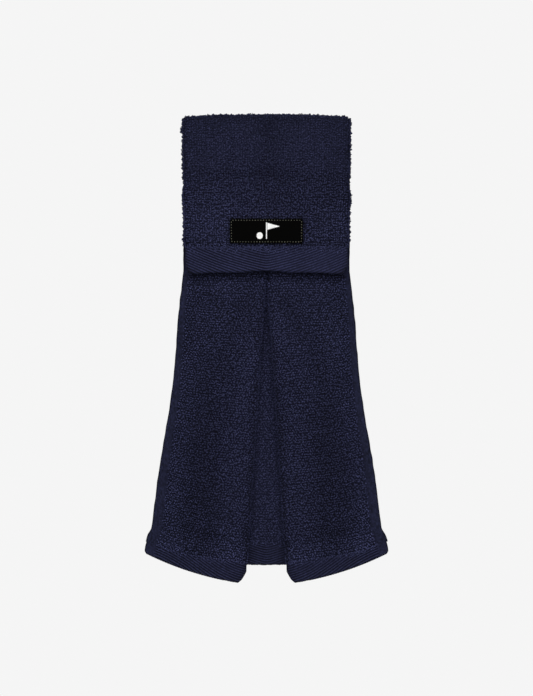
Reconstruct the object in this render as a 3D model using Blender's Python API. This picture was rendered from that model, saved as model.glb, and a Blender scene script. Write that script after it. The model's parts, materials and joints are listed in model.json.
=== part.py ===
"""Folded terry golf towel: a flap that closes over a belt, and a pleated, flaring body.

Metres, +Z up, the front faces -Y and +X is to the right of someone looking at it.
The origin is the middle of the seat that rests on the belt, on the underside of the fold.
The fold's own axis lies CHANNEL_HALF under that seat.
Sizes below are in millimetres; MM turns them into metres.
"""

import math

import bmesh
import bpy
from mathutils import Vector

MM = 0.001

# ---- cloth and fold ----
PLY = 3.0                 # one ply of terry cloth
GAP = 0.3                 # clearance between neighbouring pieces
CHANNEL_HALF = 2.5        # half of the belt channel between flap and body
AXIS_Z = -CHANNEL_HALF    # height of the fold's axis
SEAT_HALF = 1.6           # half width of the flat seat under the fold
TOP_HALF_W = 73.5         # half width of the folded top
ROOT_CUT_R = 6.3          # the fold ends inside this radius about its axis
LIMB_CUT_R = 6.6          # flap and yoke plies begin outside this one
LIMB_TOP = AXIS_Z - 3.0   # top of those plies before the round cut
CUTTER_LENGTH = 400.0
THREAD_R = 0.25
STITCH_DROP = 1.6         # from a hem band's top down to its stitching

# ---- rounding of the pieces' edges ----
PLY_ROUND = 0.7
FLAP_HEM_ROUND = 1.2
HEM_ROUND = 0.9
TAPE_ROUND = 0.2
MARK_ROUND = 0.12

# ---- flap ----
FLAP_HALF_W = 72.5        # half width of the flap's terry ply
BAND_HALF_W = 69.5        # half width of the flap's ribbed band
FLAP_TERRY_END = -113.5   # lower edge of the flap's terry ply
FLAP_BAND_TOP = FLAP_TERRY_END - GAP
FLAP_END_MID = -135.4     # the band's lower edge at the centre ...
FLAP_END_SIDE = -139.4    # ... and at its corners
FLAP_END_POWER = 2.2      # how late the edge drops towards the corners
FLAP_STITCH_HALF = 66.0

# ---- label and its emblem ----
LABEL_W, LABEL_H, LABEL_T = 64.4, 21.6, 0.8
LABEL_Z = -100.0
LABEL_R = 2.4             # corner radius
LABEL_STITCH_INSET = 1.3  # from the label's edge to its stitching
LABEL_STITCH_R = LABEL_R - 0.9
MARK_T = 0.4              # thickness of the embroidery
MARK_TOP = LABEL_Z + 7.6
PIN_HALF_W, PIN_FOOT = 0.45, LABEL_Z - 7.0
PENNANT_X, PENNANT_TIP_X = 0.75, 11.5
PENNANT_LOW, PENNANT_TIP_Z = LABEL_Z + 0.6, LABEL_Z + 4.1
BALL_X, BALL_Z, BALL_R = -6.0, LABEL_Z - 4.1, 2.9

# ---- hook and loop closure ----
TAPE_Z = -98.8
TAPE_R = 1.0              # corner radius
HOOK_W, HOOK_H, HOOK_T = 60.0, 20.0, 1.8
LOOP_W, LOOP_H, LOOP_T = 72.0, 26.0, 2.2
LOOP_STITCH_W, LOOP_STITCH_H = LOOP_W - 4.0, LOOP_H - 3.0

# ---- yoke and the backing of the pleat ----
YOKE_END = -119.4         # lower edge of the yoke at the centre line
YOKE_HALF_W = TOP_HALF_W - 0.3
YOKE_HEM_TOP = AXIS_Z - 6.7
SPREAD_MAX = math.radians(4.0)             # how far a panel can swing open
WEDGE = SPREAD_MAX + math.radians(0.6)     # slope of edges that clear a spread panel
PLEAT_HALF = 36.0         # half width of the cloth behind the pleat
TACK_HALF_W, TACK_HALF_H, TACK_Z = 9.0, 1.3, -115.4
TACK_STEPS = 20
UNDERLAY_TOP = -92.0
UNDERLAY_END = -394.9
UNDERLAY_STITCH_HALF = 34.0

# ---- front panels ----
PLEAT_PIVOT_Z = -136.0    # the pleat opens from here, just under the flap's edge
PANEL_TOP = -120.2
FOLD_END = Vector((17.2, -394.4))   # lower end of a panel's fold line
FOLD_POWER = 0.94                   # slight bow of the fold line
HEM_INNER = Vector((25.1, -410.3))  # lowest point of a panel's hem
HEM_OUTER = Vector((107.6, -384.0))  # outer corner of a panel's hem
HEM_CHAMFER = Vector((17.7, -404.3))
HEM_SAG = 3.5             # how far the hem hangs below the straight line between them
HEM_SAG_POWER = 0.9
HEM_SIDE_RISE = 2.0       # the side's last point lies this far above HEM_OUTER
BAND_H = 19.0             # height of the ribbed hem band
HEM_STITCH_LIFT = 5.0
HEM_STITCH_X = (26.0, 100.0)
RETURN_BAND_TOP, RETURN_END = -374.0, -399.8
RETURN_CORNER_X = 18.1
RETURN_OUTER_RISE = 2.0   # the return's outer corner lies this far above RETURN_END

# a panel's outer edge: a slow flare, drawn in midway, with a kick at the hem;
# starts and spans of the dip and the kick are fractions of the flare's length
FLARE_TOP, FLARE_LENGTH = -135.8, 246.0
FLARE_HALF_W, FLARE_GROWTH = 73.4, 30.6
DIP_START, DIP_SPAN, DIP_DEPTH = 0.08, 0.68, 2.9
KICK_START, KICK_SPAN, KICK_WIDTH = 0.925, 0.065, 3.6

# the smooth side hem widens downwards
SIDE_HEM_TOP, SIDE_HEM_END = 4.0, 9.0
SIDE_HEM_START, SIDE_HEM_LENGTH = -119.8, 230.0
SIDE_STITCH_INSET = 0.9
SIDE_STITCH_DROP, SIDE_STITCH_RISE = 4.0, 3.0   # held back from the hem's two ends

# ---- y of each layer's middle, front to back ----
Y_FLAP = -(CHANNEL_HALF + PLY / 2)
Y_FRONT = CHANNEL_HALF + PLY / 2
Y_RETURN = Y_FRONT + PLY + GAP
Y_UNDERLAY = Y_RETURN + PLY + GAP

Y_ON_FLAP = -(CHANNEL_HALF + PLY + GAP)         # back of whatever lies on the flap
Y_LABEL = Y_ON_FLAP - LABEL_T / 2
Y_ON_LABEL = Y_LABEL - LABEL_T / 2 - GAP        # back of whatever lies on the label
Y_BODY_THREAD = CHANNEL_HALF - GAP - THREAD_R   # threads just in front of the body

SIDES = (("left", -1), ("right", 1))

# ---- a clean file ----
for old in list(bpy.data.objects):
    bpy.data.objects.remove(old, do_unlink=True)

parts = bpy.data.collections.new("golf_towel")
cutters = bpy.data.collections.new("cutters")
bpy.context.scene.collection.children.link(parts)
bpy.context.scene.collection.children.link(cutters)

# ---- materials ----
NAVY = (0.0125, 0.0140, 0.0330)
NAVY_FLAT = (0.0150, 0.0165, 0.0390)
NAVY_DEEP = (0.0100, 0.0112, 0.0270)
LABEL_BLACK = (0.0022, 0.0022, 0.0021)
HOOK_BLACK = (0.012, 0.012, 0.016)
LOOP_BLACK = (0.010, 0.010, 0.014)
OLIVE = (0.17, 0.17, 0.12)
WHITE = (0.78, 0.78, 0.77)


def material(name, colour, roughness):
    mat = bpy.data.materials.new(name)
    mat.use_nodes = True
    bsdf = mat.node_tree.nodes["Principled BSDF"]
    bsdf.inputs["Base Color"].default_value = (*colour, 1.0)
    bsdf.inputs["Roughness"].default_value = roughness
    return mat


def terry(part, colour=NAVY):
    return material("terry_" + part, colour, roughness=0.95)


def dobby(part, colour=NAVY_FLAT):
    """The ribbed weave of the hem bands."""
    return material("dobby_" + part, colour, roughness=0.85)


def smooth_hem(part):
    return material("side_hem_" + part, NAVY_FLAT, roughness=0.85)


def navy_thread(part):
    return material("thread_" + part, NAVY_DEEP, roughness=0.6)


# ---- building helpers ----
def pivot_empty(name, y, z, parent=None):
    """An empty on the centre plane, at a world position in millimetres."""
    ob = bpy.data.objects.new(name, None)
    ob.empty_display_size = 0.01
    parts.objects.link(ob)
    ob.location = Vector((0, y, z)) * MM
    if parent is not None:
        ob.parent = parent
        ob.location -= parent.matrix_world.translation
    bpy.context.view_layer.update()
    return ob


def attach(ob, name, mat, parent):
    """Names a piece, gives it its material and parents it without moving it."""
    ob.name = name
    ob.data.name = name
    ob.data.materials.clear()
    ob.data.materials.append(mat)
    ob.parent = parent
    ob.location = ob.location - parent.matrix_world.translation
    bpy.context.view_layer.update()


def add_spline(curve, points, cyclic):
    spline = curve.splines.new("POLY")
    spline.points.add(len(points) - 1)
    for point, (x, y, z) in zip(spline.points, points):
        point.co = (x * MM, y * MM, z * MM, 1.0)
    spline.use_cyclic_u = cyclic


def outline_curve(points, half_depth, rounding):
    """A filled 2D outline in millimetres, extruded both ways, with rounded edges."""
    data = bpy.data.curves.new("outline", "CURVE")
    data.dimensions = "2D"
    data.fill_mode = "BOTH"
    data.bevel_depth = rounding * MM
    data.bevel_resolution = 1
    data.offset = -rounding * MM
    data.extrude = (half_depth - rounding) * MM
    add_spline(data, [(u, v, 0.0) for u, v in points], cyclic=True)
    ob = bpy.data.objects.new("outline", data)
    parts.objects.link(ob)
    return ob


def upright_outline(points, y_mid, thickness, rounding):
    """An outline in x and z, with its thickness along y."""
    ob = outline_curve(points, thickness / 2, rounding)
    ob.rotation_euler = (math.pi / 2, 0.0, 0.0)
    ob.location = (0.0, y_mid * MM, 0.0)
    bpy.context.view_layer.update()
    return ob


def front_plate(name, points, y_mid, mat, parent, thickness=PLY, rounding=PLY_ROUND):
    """A flat piece seen from the front."""
    attach(upright_outline(points, y_mid, thickness, rounding), name, mat, parent)


def to_mesh(ob):
    """The curve as a welded mesh object, in the same place (before it gets a parent)."""
    graph = bpy.context.evaluated_depsgraph_get()
    mesh = bpy.data.meshes.new_from_object(ob.evaluated_get(graph))
    bm = bmesh.new()
    bm.from_mesh(mesh)
    bmesh.ops.remove_doubles(bm, verts=bm.verts, dist=1e-6)
    bmesh.ops.recalc_face_normals(bm, faces=bm.faces)
    bm.to_mesh(mesh)
    bm.free()
    new = bpy.data.objects.new(ob.name, mesh)
    parts.objects.link(new)
    new.matrix_world = ob.matrix_world.copy()
    bpy.data.objects.remove(ob, do_unlink=True)
    return new


def limb_ply(name, points, y_mid, mat, parent):
    """A ply whose top is cut to a round clearance about the fold's axis."""
    ob = to_mesh(upright_outline(points, y_mid, PLY, PLY_ROUND))
    attach(ob, name, mat, parent)
    bpy.ops.mesh.primitive_cylinder_add(
        vertices=96,
        radius=LIMB_CUT_R * MM,
        depth=CUTTER_LENGTH * MM,
        location=(0.0, 0.0, AXIS_Z * MM),
        rotation=(0.0, math.pi / 2, 0.0),
    )
    cutter = bpy.context.active_object
    cutter.name = "cut_" + name
    cutter.hide_render = True
    cutter.display_type = "WIRE"
    for collection in list(cutter.users_collection):
        collection.objects.unlink(cutter)
    cutters.objects.link(cutter)
    mod = ob.modifiers.new("round_clearance", "BOOLEAN")
    mod.operation = "DIFFERENCE"
    mod.solver = "EXACT"
    mod.object = cutter


def thread(name, points, mat, parent, cyclic=False):
    """A 3D poly curve with a round section, points in millimetres."""
    data = bpy.data.curves.new(name, "CURVE")
    data.dimensions = "3D"
    data.bevel_depth = THREAD_R * MM
    data.bevel_resolution = 1
    data.use_fill_caps = not cyclic
    add_spline(data, points, cyclic)
    ob = bpy.data.objects.new(name, data)
    parts.objects.link(ob)
    attach(ob, name, mat, parent)


# ---- outlines ----
def spaced(start, end, count):
    """Evenly spaced values over count intervals, both ends included."""
    return [start + (end - start) * i / count for i in range(count + 1)]


def clamp01(value):
    return min(max(value, 0.0), 1.0)


def rectangle(half_w, top, end):
    return [(half_w, top), (-half_w, top), (-half_w, end), (half_w, end)]


def rounded_rect(width, height, radius, mid_z, steps):
    points = []
    for k, (side_x, side_z) in enumerate(((1, -1), (1, 1), (-1, 1), (-1, -1))):
        for i in range(steps + 1):
            angle = math.radians(-90 + 90 * k + 90 * i / steps)
            points.append((
                side_x * (width / 2 - radius) + radius * math.cos(angle),
                mid_z + side_z * (height / 2 - radius) + radius * math.sin(angle),
            ))
    return points


def on_side(points, sign):
    """Points drawn for the right side, mirrored when sign is -1."""
    if sign > 0:
        return points
    return [(-x, z) for x, z in reversed(points)]


def flap_end(x):
    """Height of the flap band's lower edge."""
    return FLAP_END_MID + (FLAP_END_SIDE - FLAP_END_MID) * abs(x / BAND_HALF_W) ** FLAP_END_POWER


def yoke_end(x):
    """Height of the yoke's lower edge."""
    return YOKE_END + abs(x) * math.tan(WEDGE)


def outer_x(z):
    """Half width of the hanging body at a height."""
    s = (FLARE_TOP - z) / FLARE_LENGTH
    if s <= 0.0:
        return FLARE_HALF_W
    dip = DIP_DEPTH * math.sin(math.pi * clamp01((s - DIP_START) / DIP_SPAN)) ** 2
    t = clamp01((s - KICK_START) / KICK_SPAN)
    kick = KICK_WIDTH * t * t * (3.0 - 2.0 * t)
    return FLARE_HALF_W + FLARE_GROWTH * min(s, 1.0) - dip + kick


def inner_edge(z):
    """A panel's folded edge, kept off the centre line, with relief above the pivot."""
    if z > PLEAT_PIVOT_Z:
        return GAP + (z - PLEAT_PIVOT_Z) * math.tan(WEDGE)
    s = (PLEAT_PIVOT_Z - z) / (PLEAT_PIVOT_Z - FOLD_END.y)
    return max(FOLD_END.x * s ** FOLD_POWER, GAP)


def side_hem_x(z):
    """Inner edge of the smooth side hem."""
    s = clamp01((SIDE_HEM_START - z) / SIDE_HEM_LENGTH)
    return outer_x(z) - (SIDE_HEM_TOP + (SIDE_HEM_END - SIDE_HEM_TOP) * s)


def terry_edge(z):
    """Outer edge of a panel's terry ply."""
    return side_hem_x(z) - GAP


HEM_DIR = (HEM_OUTER - HEM_INNER).normalized()
HEM_UP = Vector((-HEM_DIR.y, HEM_DIR.x))


def band_line(x, lift):
    """Height of a line parallel to the hem, a perpendicular distance above it."""
    start = HEM_INNER + HEM_UP * lift
    return start.y + (x - start.x) * HEM_DIR.y / HEM_DIR.x


def meet(edge, lift):
    """Height where an edge x = edge(z) meets the line parallel to the hem, by bisection."""
    high, low = -300.0, -405.0
    for _ in range(60):
        mid = (high + low) / 2
        if mid > band_line(edge(mid), lift):
            high = mid
        else:
            low = mid
    return (high + low) / 2


# ---- the fold over the belt ----
def fold_profile():
    """The fold's section about its axis: (y, z), starting at the back."""
    outer_r = CHANNEL_HALF + PLY
    points = []
    for i in range(25):                       # over the outside, back to front
        angle = math.pi * i / 24
        points.append((outer_r * math.cos(angle), outer_r * math.sin(angle)))
    angle_out = math.acos(outer_r / ROOT_CUT_R)
    angle_in = math.acos(CHANNEL_HALF / ROOT_CUT_R)
    leg_end = [                               # a leg's end, on the cut circle
        (ROOT_CUT_R * math.cos(angle), -ROOT_CUT_R * math.sin(angle))
        for angle in spaced(angle_out, angle_in, 5)
    ]
    points += [(-y, z) for y, z in leg_end]
    points += [
        (-CHANNEL_HALF, SEAT_HALF), (-SEAT_HALF, CHANNEL_HALF),
        (SEAT_HALF, CHANNEL_HALF), (CHANNEL_HALF, SEAT_HALF),
    ]
    return points + leg_end[::-1]


def build_fold(parent):
    fold = outline_curve(fold_profile(), TOP_HALF_W, rounding=0.0)
    fold.rotation_euler = (math.pi / 2, 0.0, math.pi / 2)
    fold.location = (0.0, 0.0, AXIS_Z * MM)
    attach(fold, "top_fold", terry("fold"), parent)


# ---- the flap ----
def build_flap(flap):
    ply = [
        (-FLAP_HALF_W, LIMB_TOP), (-FLAP_HALF_W, FLAP_TERRY_END),
        (FLAP_HALF_W, FLAP_TERRY_END), (FLAP_HALF_W, LIMB_TOP),
    ]
    limb_ply("flap_ply", ply, Y_FLAP, terry("flap"), flap)

    band = [(BAND_HALF_W, FLAP_BAND_TOP), (-BAND_HALF_W, FLAP_BAND_TOP)]
    band += [(x, flap_end(x)) for x in spaced(-BAND_HALF_W, BAND_HALF_W, 16)]
    front_plate("flap_hem_band", band, Y_FLAP, dobby("flap"), flap, rounding=FLAP_HEM_ROUND)

    stitch_xs = spaced(-FLAP_STITCH_HALF, FLAP_STITCH_HALF, 4)
    stitches = [(x, Y_ON_FLAP - THREAD_R, FLAP_BAND_TOP - STITCH_DROP) for x in stitch_xs]
    thread("flap_band_stitching", stitches, navy_thread("flap_band"), flap)


def build_label(flap):
    front_plate(
        "label_patch", rounded_rect(LABEL_W, LABEL_H, LABEL_R, LABEL_Z, steps=5), Y_LABEL,
        material("label_black", LABEL_BLACK, roughness=0.8), flap, LABEL_T, TAPE_ROUND,
    )
    seam = rounded_rect(
        LABEL_W - 2 * LABEL_STITCH_INSET, LABEL_H - 2 * LABEL_STITCH_INSET,
        LABEL_STITCH_R, LABEL_Z, steps=3,
    )
    thread(
        "label_stitching", [(x, Y_ON_LABEL - THREAD_R, z) for x, z in seam],
        material("thread_olive", OLIVE, roughness=0.7), flap, cyclic=True,
    )


def build_emblem(flap):
    """A pin flag with a ball beside it, embroidered on the label."""
    pin = [
        (-PIN_HALF_W, PIN_FOOT), (PIN_HALF_W, PIN_FOOT),
        (PIN_HALF_W, MARK_TOP), (-PIN_HALF_W, MARK_TOP),
    ]
    pennant = [
        (PENNANT_X, MARK_TOP), (PENNANT_X, PENNANT_LOW), (PENNANT_TIP_X, PENNANT_TIP_Z),
    ]
    ball = []
    for i in range(24):
        angle = 2 * math.pi * i / 24
        ball.append((BALL_X + BALL_R * math.cos(angle), BALL_Z + BALL_R * math.sin(angle)))
    for part, points in (("pin", pin), ("pennant", pennant), ("ball", ball)):
        front_plate(
            "emblem_" + part, points, Y_ON_LABEL - MARK_T / 2,
            material("embroidery_" + part, WHITE, roughness=0.6), flap, MARK_T, MARK_ROUND,
        )


# ---- the closure: hooks behind the flap, loops on the front of the body ----
def build_closure(flap, body):
    front_plate(
        "hook_tape", rounded_rect(HOOK_W, HOOK_H, TAPE_R, TAPE_Z, steps=2),
        -(CHANNEL_HALF - GAP - HOOK_T / 2),
        material("hook_tape", HOOK_BLACK, roughness=0.7), flap, HOOK_T, TAPE_ROUND,
    )
    front_plate(
        "loop_tape", rounded_rect(LOOP_W, LOOP_H, TAPE_R, TAPE_Z, steps=2),
        CHANNEL_HALF - GAP - LOOP_T / 2,
        material("loop_tape", LOOP_BLACK, roughness=0.9), body, LOOP_T, TAPE_ROUND,
    )
    seam = rounded_rect(LOOP_STITCH_W, LOOP_STITCH_H, TAPE_R, TAPE_Z, steps=2)
    thread_y = Y_BODY_THREAD - LOOP_T - GAP
    thread(
        "loop_tape_stitching", [(x, thread_y, z) for x, z in seam],
        navy_thread("loop_tape"), body, cyclic=True,
    )


# ---- the yoke behind the flap, with the tucked cloth behind it ----
def build_yoke(body):
    hem_x = YOKE_HALF_W - SIDE_HEM_TOP
    cloth_x = hem_x - GAP
    ply = [
        (cloth_x, LIMB_TOP), (-cloth_x, LIMB_TOP), (-cloth_x, yoke_end(cloth_x)),
        (0.0, yoke_end(0.0)), (cloth_x, yoke_end(cloth_x)),
    ]
    limb_ply("yoke_ply", ply, Y_FRONT, terry("yoke"), body)

    side_hem = [
        (hem_x, YOKE_HEM_TOP), (hem_x, yoke_end(hem_x)),
        (YOKE_HALF_W, yoke_end(YOKE_HALF_W)), (YOKE_HALF_W, YOKE_HEM_TOP),
    ]
    tucked = [
        (GAP, UNDERLAY_TOP), (GAP, yoke_end(0.0)),
        (PLEAT_HALF, yoke_end(PLEAT_HALF)), (PLEAT_HALF, UNDERLAY_TOP),
    ]
    for side, sign in SIDES:
        front_plate(
            side + "_yoke_side_hem", on_side(side_hem, sign), Y_FRONT,
            smooth_hem("yoke_" + side), body,
        )
        front_plate(
            side + "_tucked_return", on_side(tucked, sign), Y_RETURN,
            terry("tucked_" + side, NAVY_DEEP), body,
        )

    tack = []                                 # a zigzag across the head of the pleat
    for i, x in enumerate(spaced(-TACK_HALF_W, TACK_HALF_W, TACK_STEPS)):
        tack.append((x, Y_BODY_THREAD, TACK_Z + TACK_HALF_H * (1 if i % 2 else -1)))
    thread("pleat_tack_stitching", tack, navy_thread("tack"), body)


# ---- the cloth that backs the pleat ----
def build_underlay(body):
    band_top = UNDERLAY_END + BAND_H
    front_plate(
        "pleat_underlay", rectangle(PLEAT_HALF, UNDERLAY_TOP, band_top + GAP), Y_UNDERLAY,
        terry("underlay", NAVY_DEEP), body, rounding=0.0,
    )
    front_plate(
        "underlay_hem_band", rectangle(PLEAT_HALF, band_top, UNDERLAY_END), Y_UNDERLAY,
        dobby("underlay"), body, rounding=HEM_ROUND,
    )
    thread_y = Y_UNDERLAY + PLY / 2 + GAP + THREAD_R
    stitch_xs = spaced(-UNDERLAY_STITCH_HALF, UNDERLAY_STITCH_HALF, 4)
    thread(
        "underlay_hem_stitching", [(x, thread_y, band_top - STITCH_DROP) for x in stitch_xs],
        navy_thread("underlay_hem"), body,
    )


# ---- a front panel; outlines are drawn for the right side ----
def panel_ply_outline():
    z_in = meet(inner_edge, BAND_H + GAP)
    z_out = meet(terry_edge, BAND_H + GAP)
    points = [(inner_edge(z), z) for z in [PANEL_TOP] + spaced(PLEAT_PIVOT_Z, z_in, 10)]
    return points + [(terry_edge(z), z) for z in reversed(spaced(PANEL_TOP, z_out, 14))]


def side_hem_outline():
    z_in = meet(side_hem_x, BAND_H + GAP)
    z_out = meet(outer_x, BAND_H + GAP)
    points = [(side_hem_x(z), z) for z in spaced(PANEL_TOP, z_in, 14)]
    return points + [(outer_x(z), z) for z in reversed(spaced(PANEL_TOP, z_out, 14))]


def hem_band_outline():
    z_in = meet(inner_edge, BAND_H)
    z_out = meet(outer_x, BAND_H)
    points = [(inner_edge(z_in), z_in), tuple(FOLD_END), tuple(HEM_CHAMFER), tuple(HEM_INNER)]
    for i in range(1, 13):                    # the hem hangs in a shallow curve
        s = i / 12
        x = HEM_INNER.x + (HEM_OUTER.x - HEM_INNER.x) * s
        sag = HEM_SAG * abs(math.sin(math.pi * s)) ** HEM_SAG_POWER
        points.append((x, band_line(x, 0.0) - sag))
    side_heights = spaced(z_out, HEM_OUTER.y + HEM_SIDE_RISE, 4)
    return points + [(outer_x(z), z) for z in reversed(side_heights)]


def return_outline():
    """The ply behind the panel, from its folded edge outward."""
    end = RETURN_BAND_TOP + GAP
    points = [(inner_edge(z), z) for z in [PANEL_TOP] + spaced(PLEAT_PIVOT_Z, end, 8)]
    return points + [(PLEAT_HALF, end), (PLEAT_HALF, PANEL_TOP)]


def return_band_outline():
    return [
        (inner_edge(RETURN_BAND_TOP), RETURN_BAND_TOP), tuple(FOLD_END),
        (RETURN_CORNER_X, RETURN_END), (PLEAT_HALF, RETURN_END + RETURN_OUTER_RISE),
        (PLEAT_HALF, RETURN_BAND_TOP),
    ]


def build_panel(side, sign, pivot):
    # piece, outline, y of its middle, material, edge rounding
    plates = (
        ("_panel_ply", panel_ply_outline(), Y_FRONT, terry("panel_" + side), PLY_ROUND),
        ("_side_hem", side_hem_outline(), Y_FRONT, smooth_hem(side), PLY_ROUND),
        ("_hem_band", hem_band_outline(), Y_FRONT, dobby("panel_" + side), HEM_ROUND),
        ("_pleat_return", return_outline(), Y_RETURN,
         terry("return_" + side, NAVY_DEEP), PLY_ROUND),
        ("_return_hem_band", return_band_outline(), Y_RETURN,
         dobby("return_" + side, NAVY_DEEP), PLY_ROUND),
    )
    for piece, points, y_mid, mat, rounding in plates:
        front_plate(side + piece, on_side(points, sign), y_mid, mat, pivot, rounding=rounding)

    hem_stitches = [
        (sign * x, Y_BODY_THREAD, band_line(x, HEM_STITCH_LIFT))
        for x in spaced(*HEM_STITCH_X, 4)
    ]
    thread(side + "_hem_stitching", hem_stitches, navy_thread("hem_" + side), pivot)

    stitch_top = PANEL_TOP - SIDE_STITCH_DROP
    stitch_end = meet(side_hem_x, BAND_H + GAP) + SIDE_STITCH_RISE
    side_stitches = [
        (sign * (side_hem_x(z) + SIDE_STITCH_INSET), Y_BODY_THREAD, z)
        for z in spaced(stitch_top, stitch_end, 12)
    ]
    thread(side + "_side_stitching", side_stitches, navy_thread("side_" + side), pivot)


# ---- assembly: empties on the joint axes carry the pieces ----
root = pivot_empty("towel_root", 0, 0)
flap_pivot = pivot_empty("flap_pivot", 0, AXIS_Z, root)
body_pivot = pivot_empty("body_pivot", 0, AXIS_Z, root)

build_fold(root)
build_flap(flap_pivot)
build_label(flap_pivot)
build_emblem(flap_pivot)
build_closure(flap_pivot, body_pivot)
build_yoke(body_pivot)
build_underlay(body_pivot)
for side_name, side_sign in SIDES:
    pleat_pivot = pivot_empty(side_name + "_pleat_pivot", Y_FRONT, PLEAT_PIVOT_Z, body_pivot)
    build_panel(side_name, side_sign, pleat_pivot)
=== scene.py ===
"""The looks of a folded terry golf towel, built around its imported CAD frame.

The towel hangs from a fold at the top. A flap with a woven label lies in front, and below it two
panels with slanting hems open over a pleat. x runs right, y back and z up. Lengths are in
millimetres until a mesh is built; the frame, the stage and the motion limits are in metres.
The cloth carries terry loops, its borders are flat with raised cords, and every loop and stitch
is its own small tube. Paired parts are shaped on the right, at positive x, and mirrored.
"""

import json
import math

import bpy
import numpy as np
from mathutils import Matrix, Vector


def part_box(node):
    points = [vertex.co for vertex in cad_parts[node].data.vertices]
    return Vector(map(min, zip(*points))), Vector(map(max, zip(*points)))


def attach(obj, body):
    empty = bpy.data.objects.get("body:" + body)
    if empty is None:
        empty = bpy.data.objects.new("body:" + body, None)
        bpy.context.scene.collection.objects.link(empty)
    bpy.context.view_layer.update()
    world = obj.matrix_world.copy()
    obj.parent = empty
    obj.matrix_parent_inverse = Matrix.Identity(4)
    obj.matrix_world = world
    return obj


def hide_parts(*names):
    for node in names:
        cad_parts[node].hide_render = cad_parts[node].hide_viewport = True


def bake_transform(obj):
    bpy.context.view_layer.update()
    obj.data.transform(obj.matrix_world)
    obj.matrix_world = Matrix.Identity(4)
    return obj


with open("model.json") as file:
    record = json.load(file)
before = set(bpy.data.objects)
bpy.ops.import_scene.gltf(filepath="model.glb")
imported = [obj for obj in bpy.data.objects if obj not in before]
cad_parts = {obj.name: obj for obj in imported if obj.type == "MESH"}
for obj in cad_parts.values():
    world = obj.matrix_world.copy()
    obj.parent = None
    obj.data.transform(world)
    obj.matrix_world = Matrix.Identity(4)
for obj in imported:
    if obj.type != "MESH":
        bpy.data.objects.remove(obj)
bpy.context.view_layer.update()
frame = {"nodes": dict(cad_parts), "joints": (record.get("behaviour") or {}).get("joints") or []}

MM = 0.001
PI = math.pi
SIDES = (("left", True), ("right", False))      # name, mirrored


# ---- places taken from the CAD nodes ----------------------------------------------------------
def mm_box(node):
    lo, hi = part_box(node)
    return np.array(lo) / MM, np.array(hi) / MM


def middle_y(node):
    lo, hi = mm_box(node)
    return (lo[1] + hi[1]) / 2


hem_lo, hem_hi = mm_box("right_hem_band")
return_band_lo, return_band_hi = mm_box("right_return_hem_band")
under_band_lo, under_band_hi = mm_box("underlay_hem_band")
label_lo, label_hi = mm_box("label_patch")
hook_lo, hook_hi = mm_box("hook_tape")
loop_lo, loop_hi = mm_box("loop_tape")
BAND_HALF = mm_box("flap_hem_band")[1][0]
YOKE_HALF = mm_box("yoke_ply")[1][0]
PLEAT_HALF, _, UNDER_TOP = mm_box("pleat_underlay")[1]

Y_FLAP = middle_y("flap_ply")
Y_FRONT = middle_y("right_panel_ply")
Y_RETURN = middle_y("right_pleat_return")
Y_UNDER = middle_y("pleat_underlay")
AXIS_Z = next(j for j in frame["joints"] if j["name"] == "flap_fold")["pos_m"][2] / MM

# x and z of the corners of the right panel
FOLD_END = np.array((17.2, -394.4))
HEM_INNER = np.array((25.1, hem_lo[2]))
HEM_OUTER = np.array((hem_hi[0], -384.0))
HEM_CHAMFER = np.array((17.7, -404.3))

PIVOT_Z = -136.0           # the pleat opens below this height
SIDE_X = 73.4              # outer edge of the body above the panels
HEM_SAG = 3.5
BAND_TOP = -113.3          # upper edge of the flap's border
SEAM_Z = -117.8            # where the yoke's cloth meets the panels' cloth, behind the flap
UNDER_SPLIT = under_band_hi[2] + 0.2
SIDE_HEM_END = -377.0
BASE = 0.72                # half thickness of the woven ground under the loops
RIB = 2.2                  # distance between the cords of the borders
R_CROWN = 3.35             # radius of the middle of the cloth over the fold
R_FOLD = (Y_RETURN - Y_FRONT) / 2
TERRY_LIFT = 11.5          # the panels' terry ends this far above the hem line at the outer side
TERRY_EXTRA = 6.8          # and this much farther up at the inner side
BORDER_TOP = TERRY_LIFT + 1.2
LABEL_Z = (label_hi[2] + label_lo[2]) / 2
LABEL_HALF_W = (label_hi[0] - label_lo[0]) / 2
LABEL_HALF_H = (label_hi[2] - label_lo[2]) / 2
LABEL_Y = (label_hi[1] + label_lo[1]) / 2
LABEL_FACE = LABEL_Y - 0.30
LABEL_INSET = 1.3          # of the lockstitch from the label's edge

# how the pieces move: two parts, and where the motion changes from the first to the second
FLAP_MOTION = ("fold", "flap", (0, 0, 0.0), (0, 0, -0.012))
YOKE_MOTION = ("fold", "body", (0, 0, 0.0), (0, 0, -0.016))


def panel_motion(side):
    return "body", side + "_panel", (0, 0.004, -0.114), (0, 0.004, -0.150)


# ---- soft steps and bumps ---------------------------------------------------------------------
def clamp01(value):
    return np.clip(value, 0.0, 1.0)


def smooth(value):
    value = clamp01(value)
    return value * value * (3 - 2 * value)


def past(value, start, span):
    """Rises from 0 to 1 over the span above start."""
    return smooth((value - start) / span)


def below(value, start, span):
    """Rises from 0 to 1 over the span below start."""
    return smooth((start - value) / span)


def bell(value, centre, width):
    return np.exp(-(((value - centre) / width) ** 2))


def bump(x, z, centre_x, centre_z, radius_x, radius_z):
    return np.exp(-(((x - centre_x) / radius_x) ** 2) - ((z - centre_z) / radius_z) ** 2)


def bumps(x, z, table):
    """Sum of bumps; each row holds gain, centre x, centre z, radius x, radius z."""
    return sum(gain * bump(x, z, *place) for gain, *place in table)


def soft_abs(x, radius=1.6):
    return np.sqrt(x * x + radius * radius) - radius


def slow_noise(position, seed, step):
    """Random values along a line, smooth between knots one step apart."""
    rng = np.random.default_rng(seed)
    knots = np.arange(-440.0, 40.0, step)
    values = rng.uniform(-1, 1, len(knots))
    at = (position - knots[0]) / step
    i = np.clip(at.astype(int), 0, len(knots) - 2)
    part = smooth(at - i)
    return values[i] * (1 - part) + values[i + 1] * part


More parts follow.
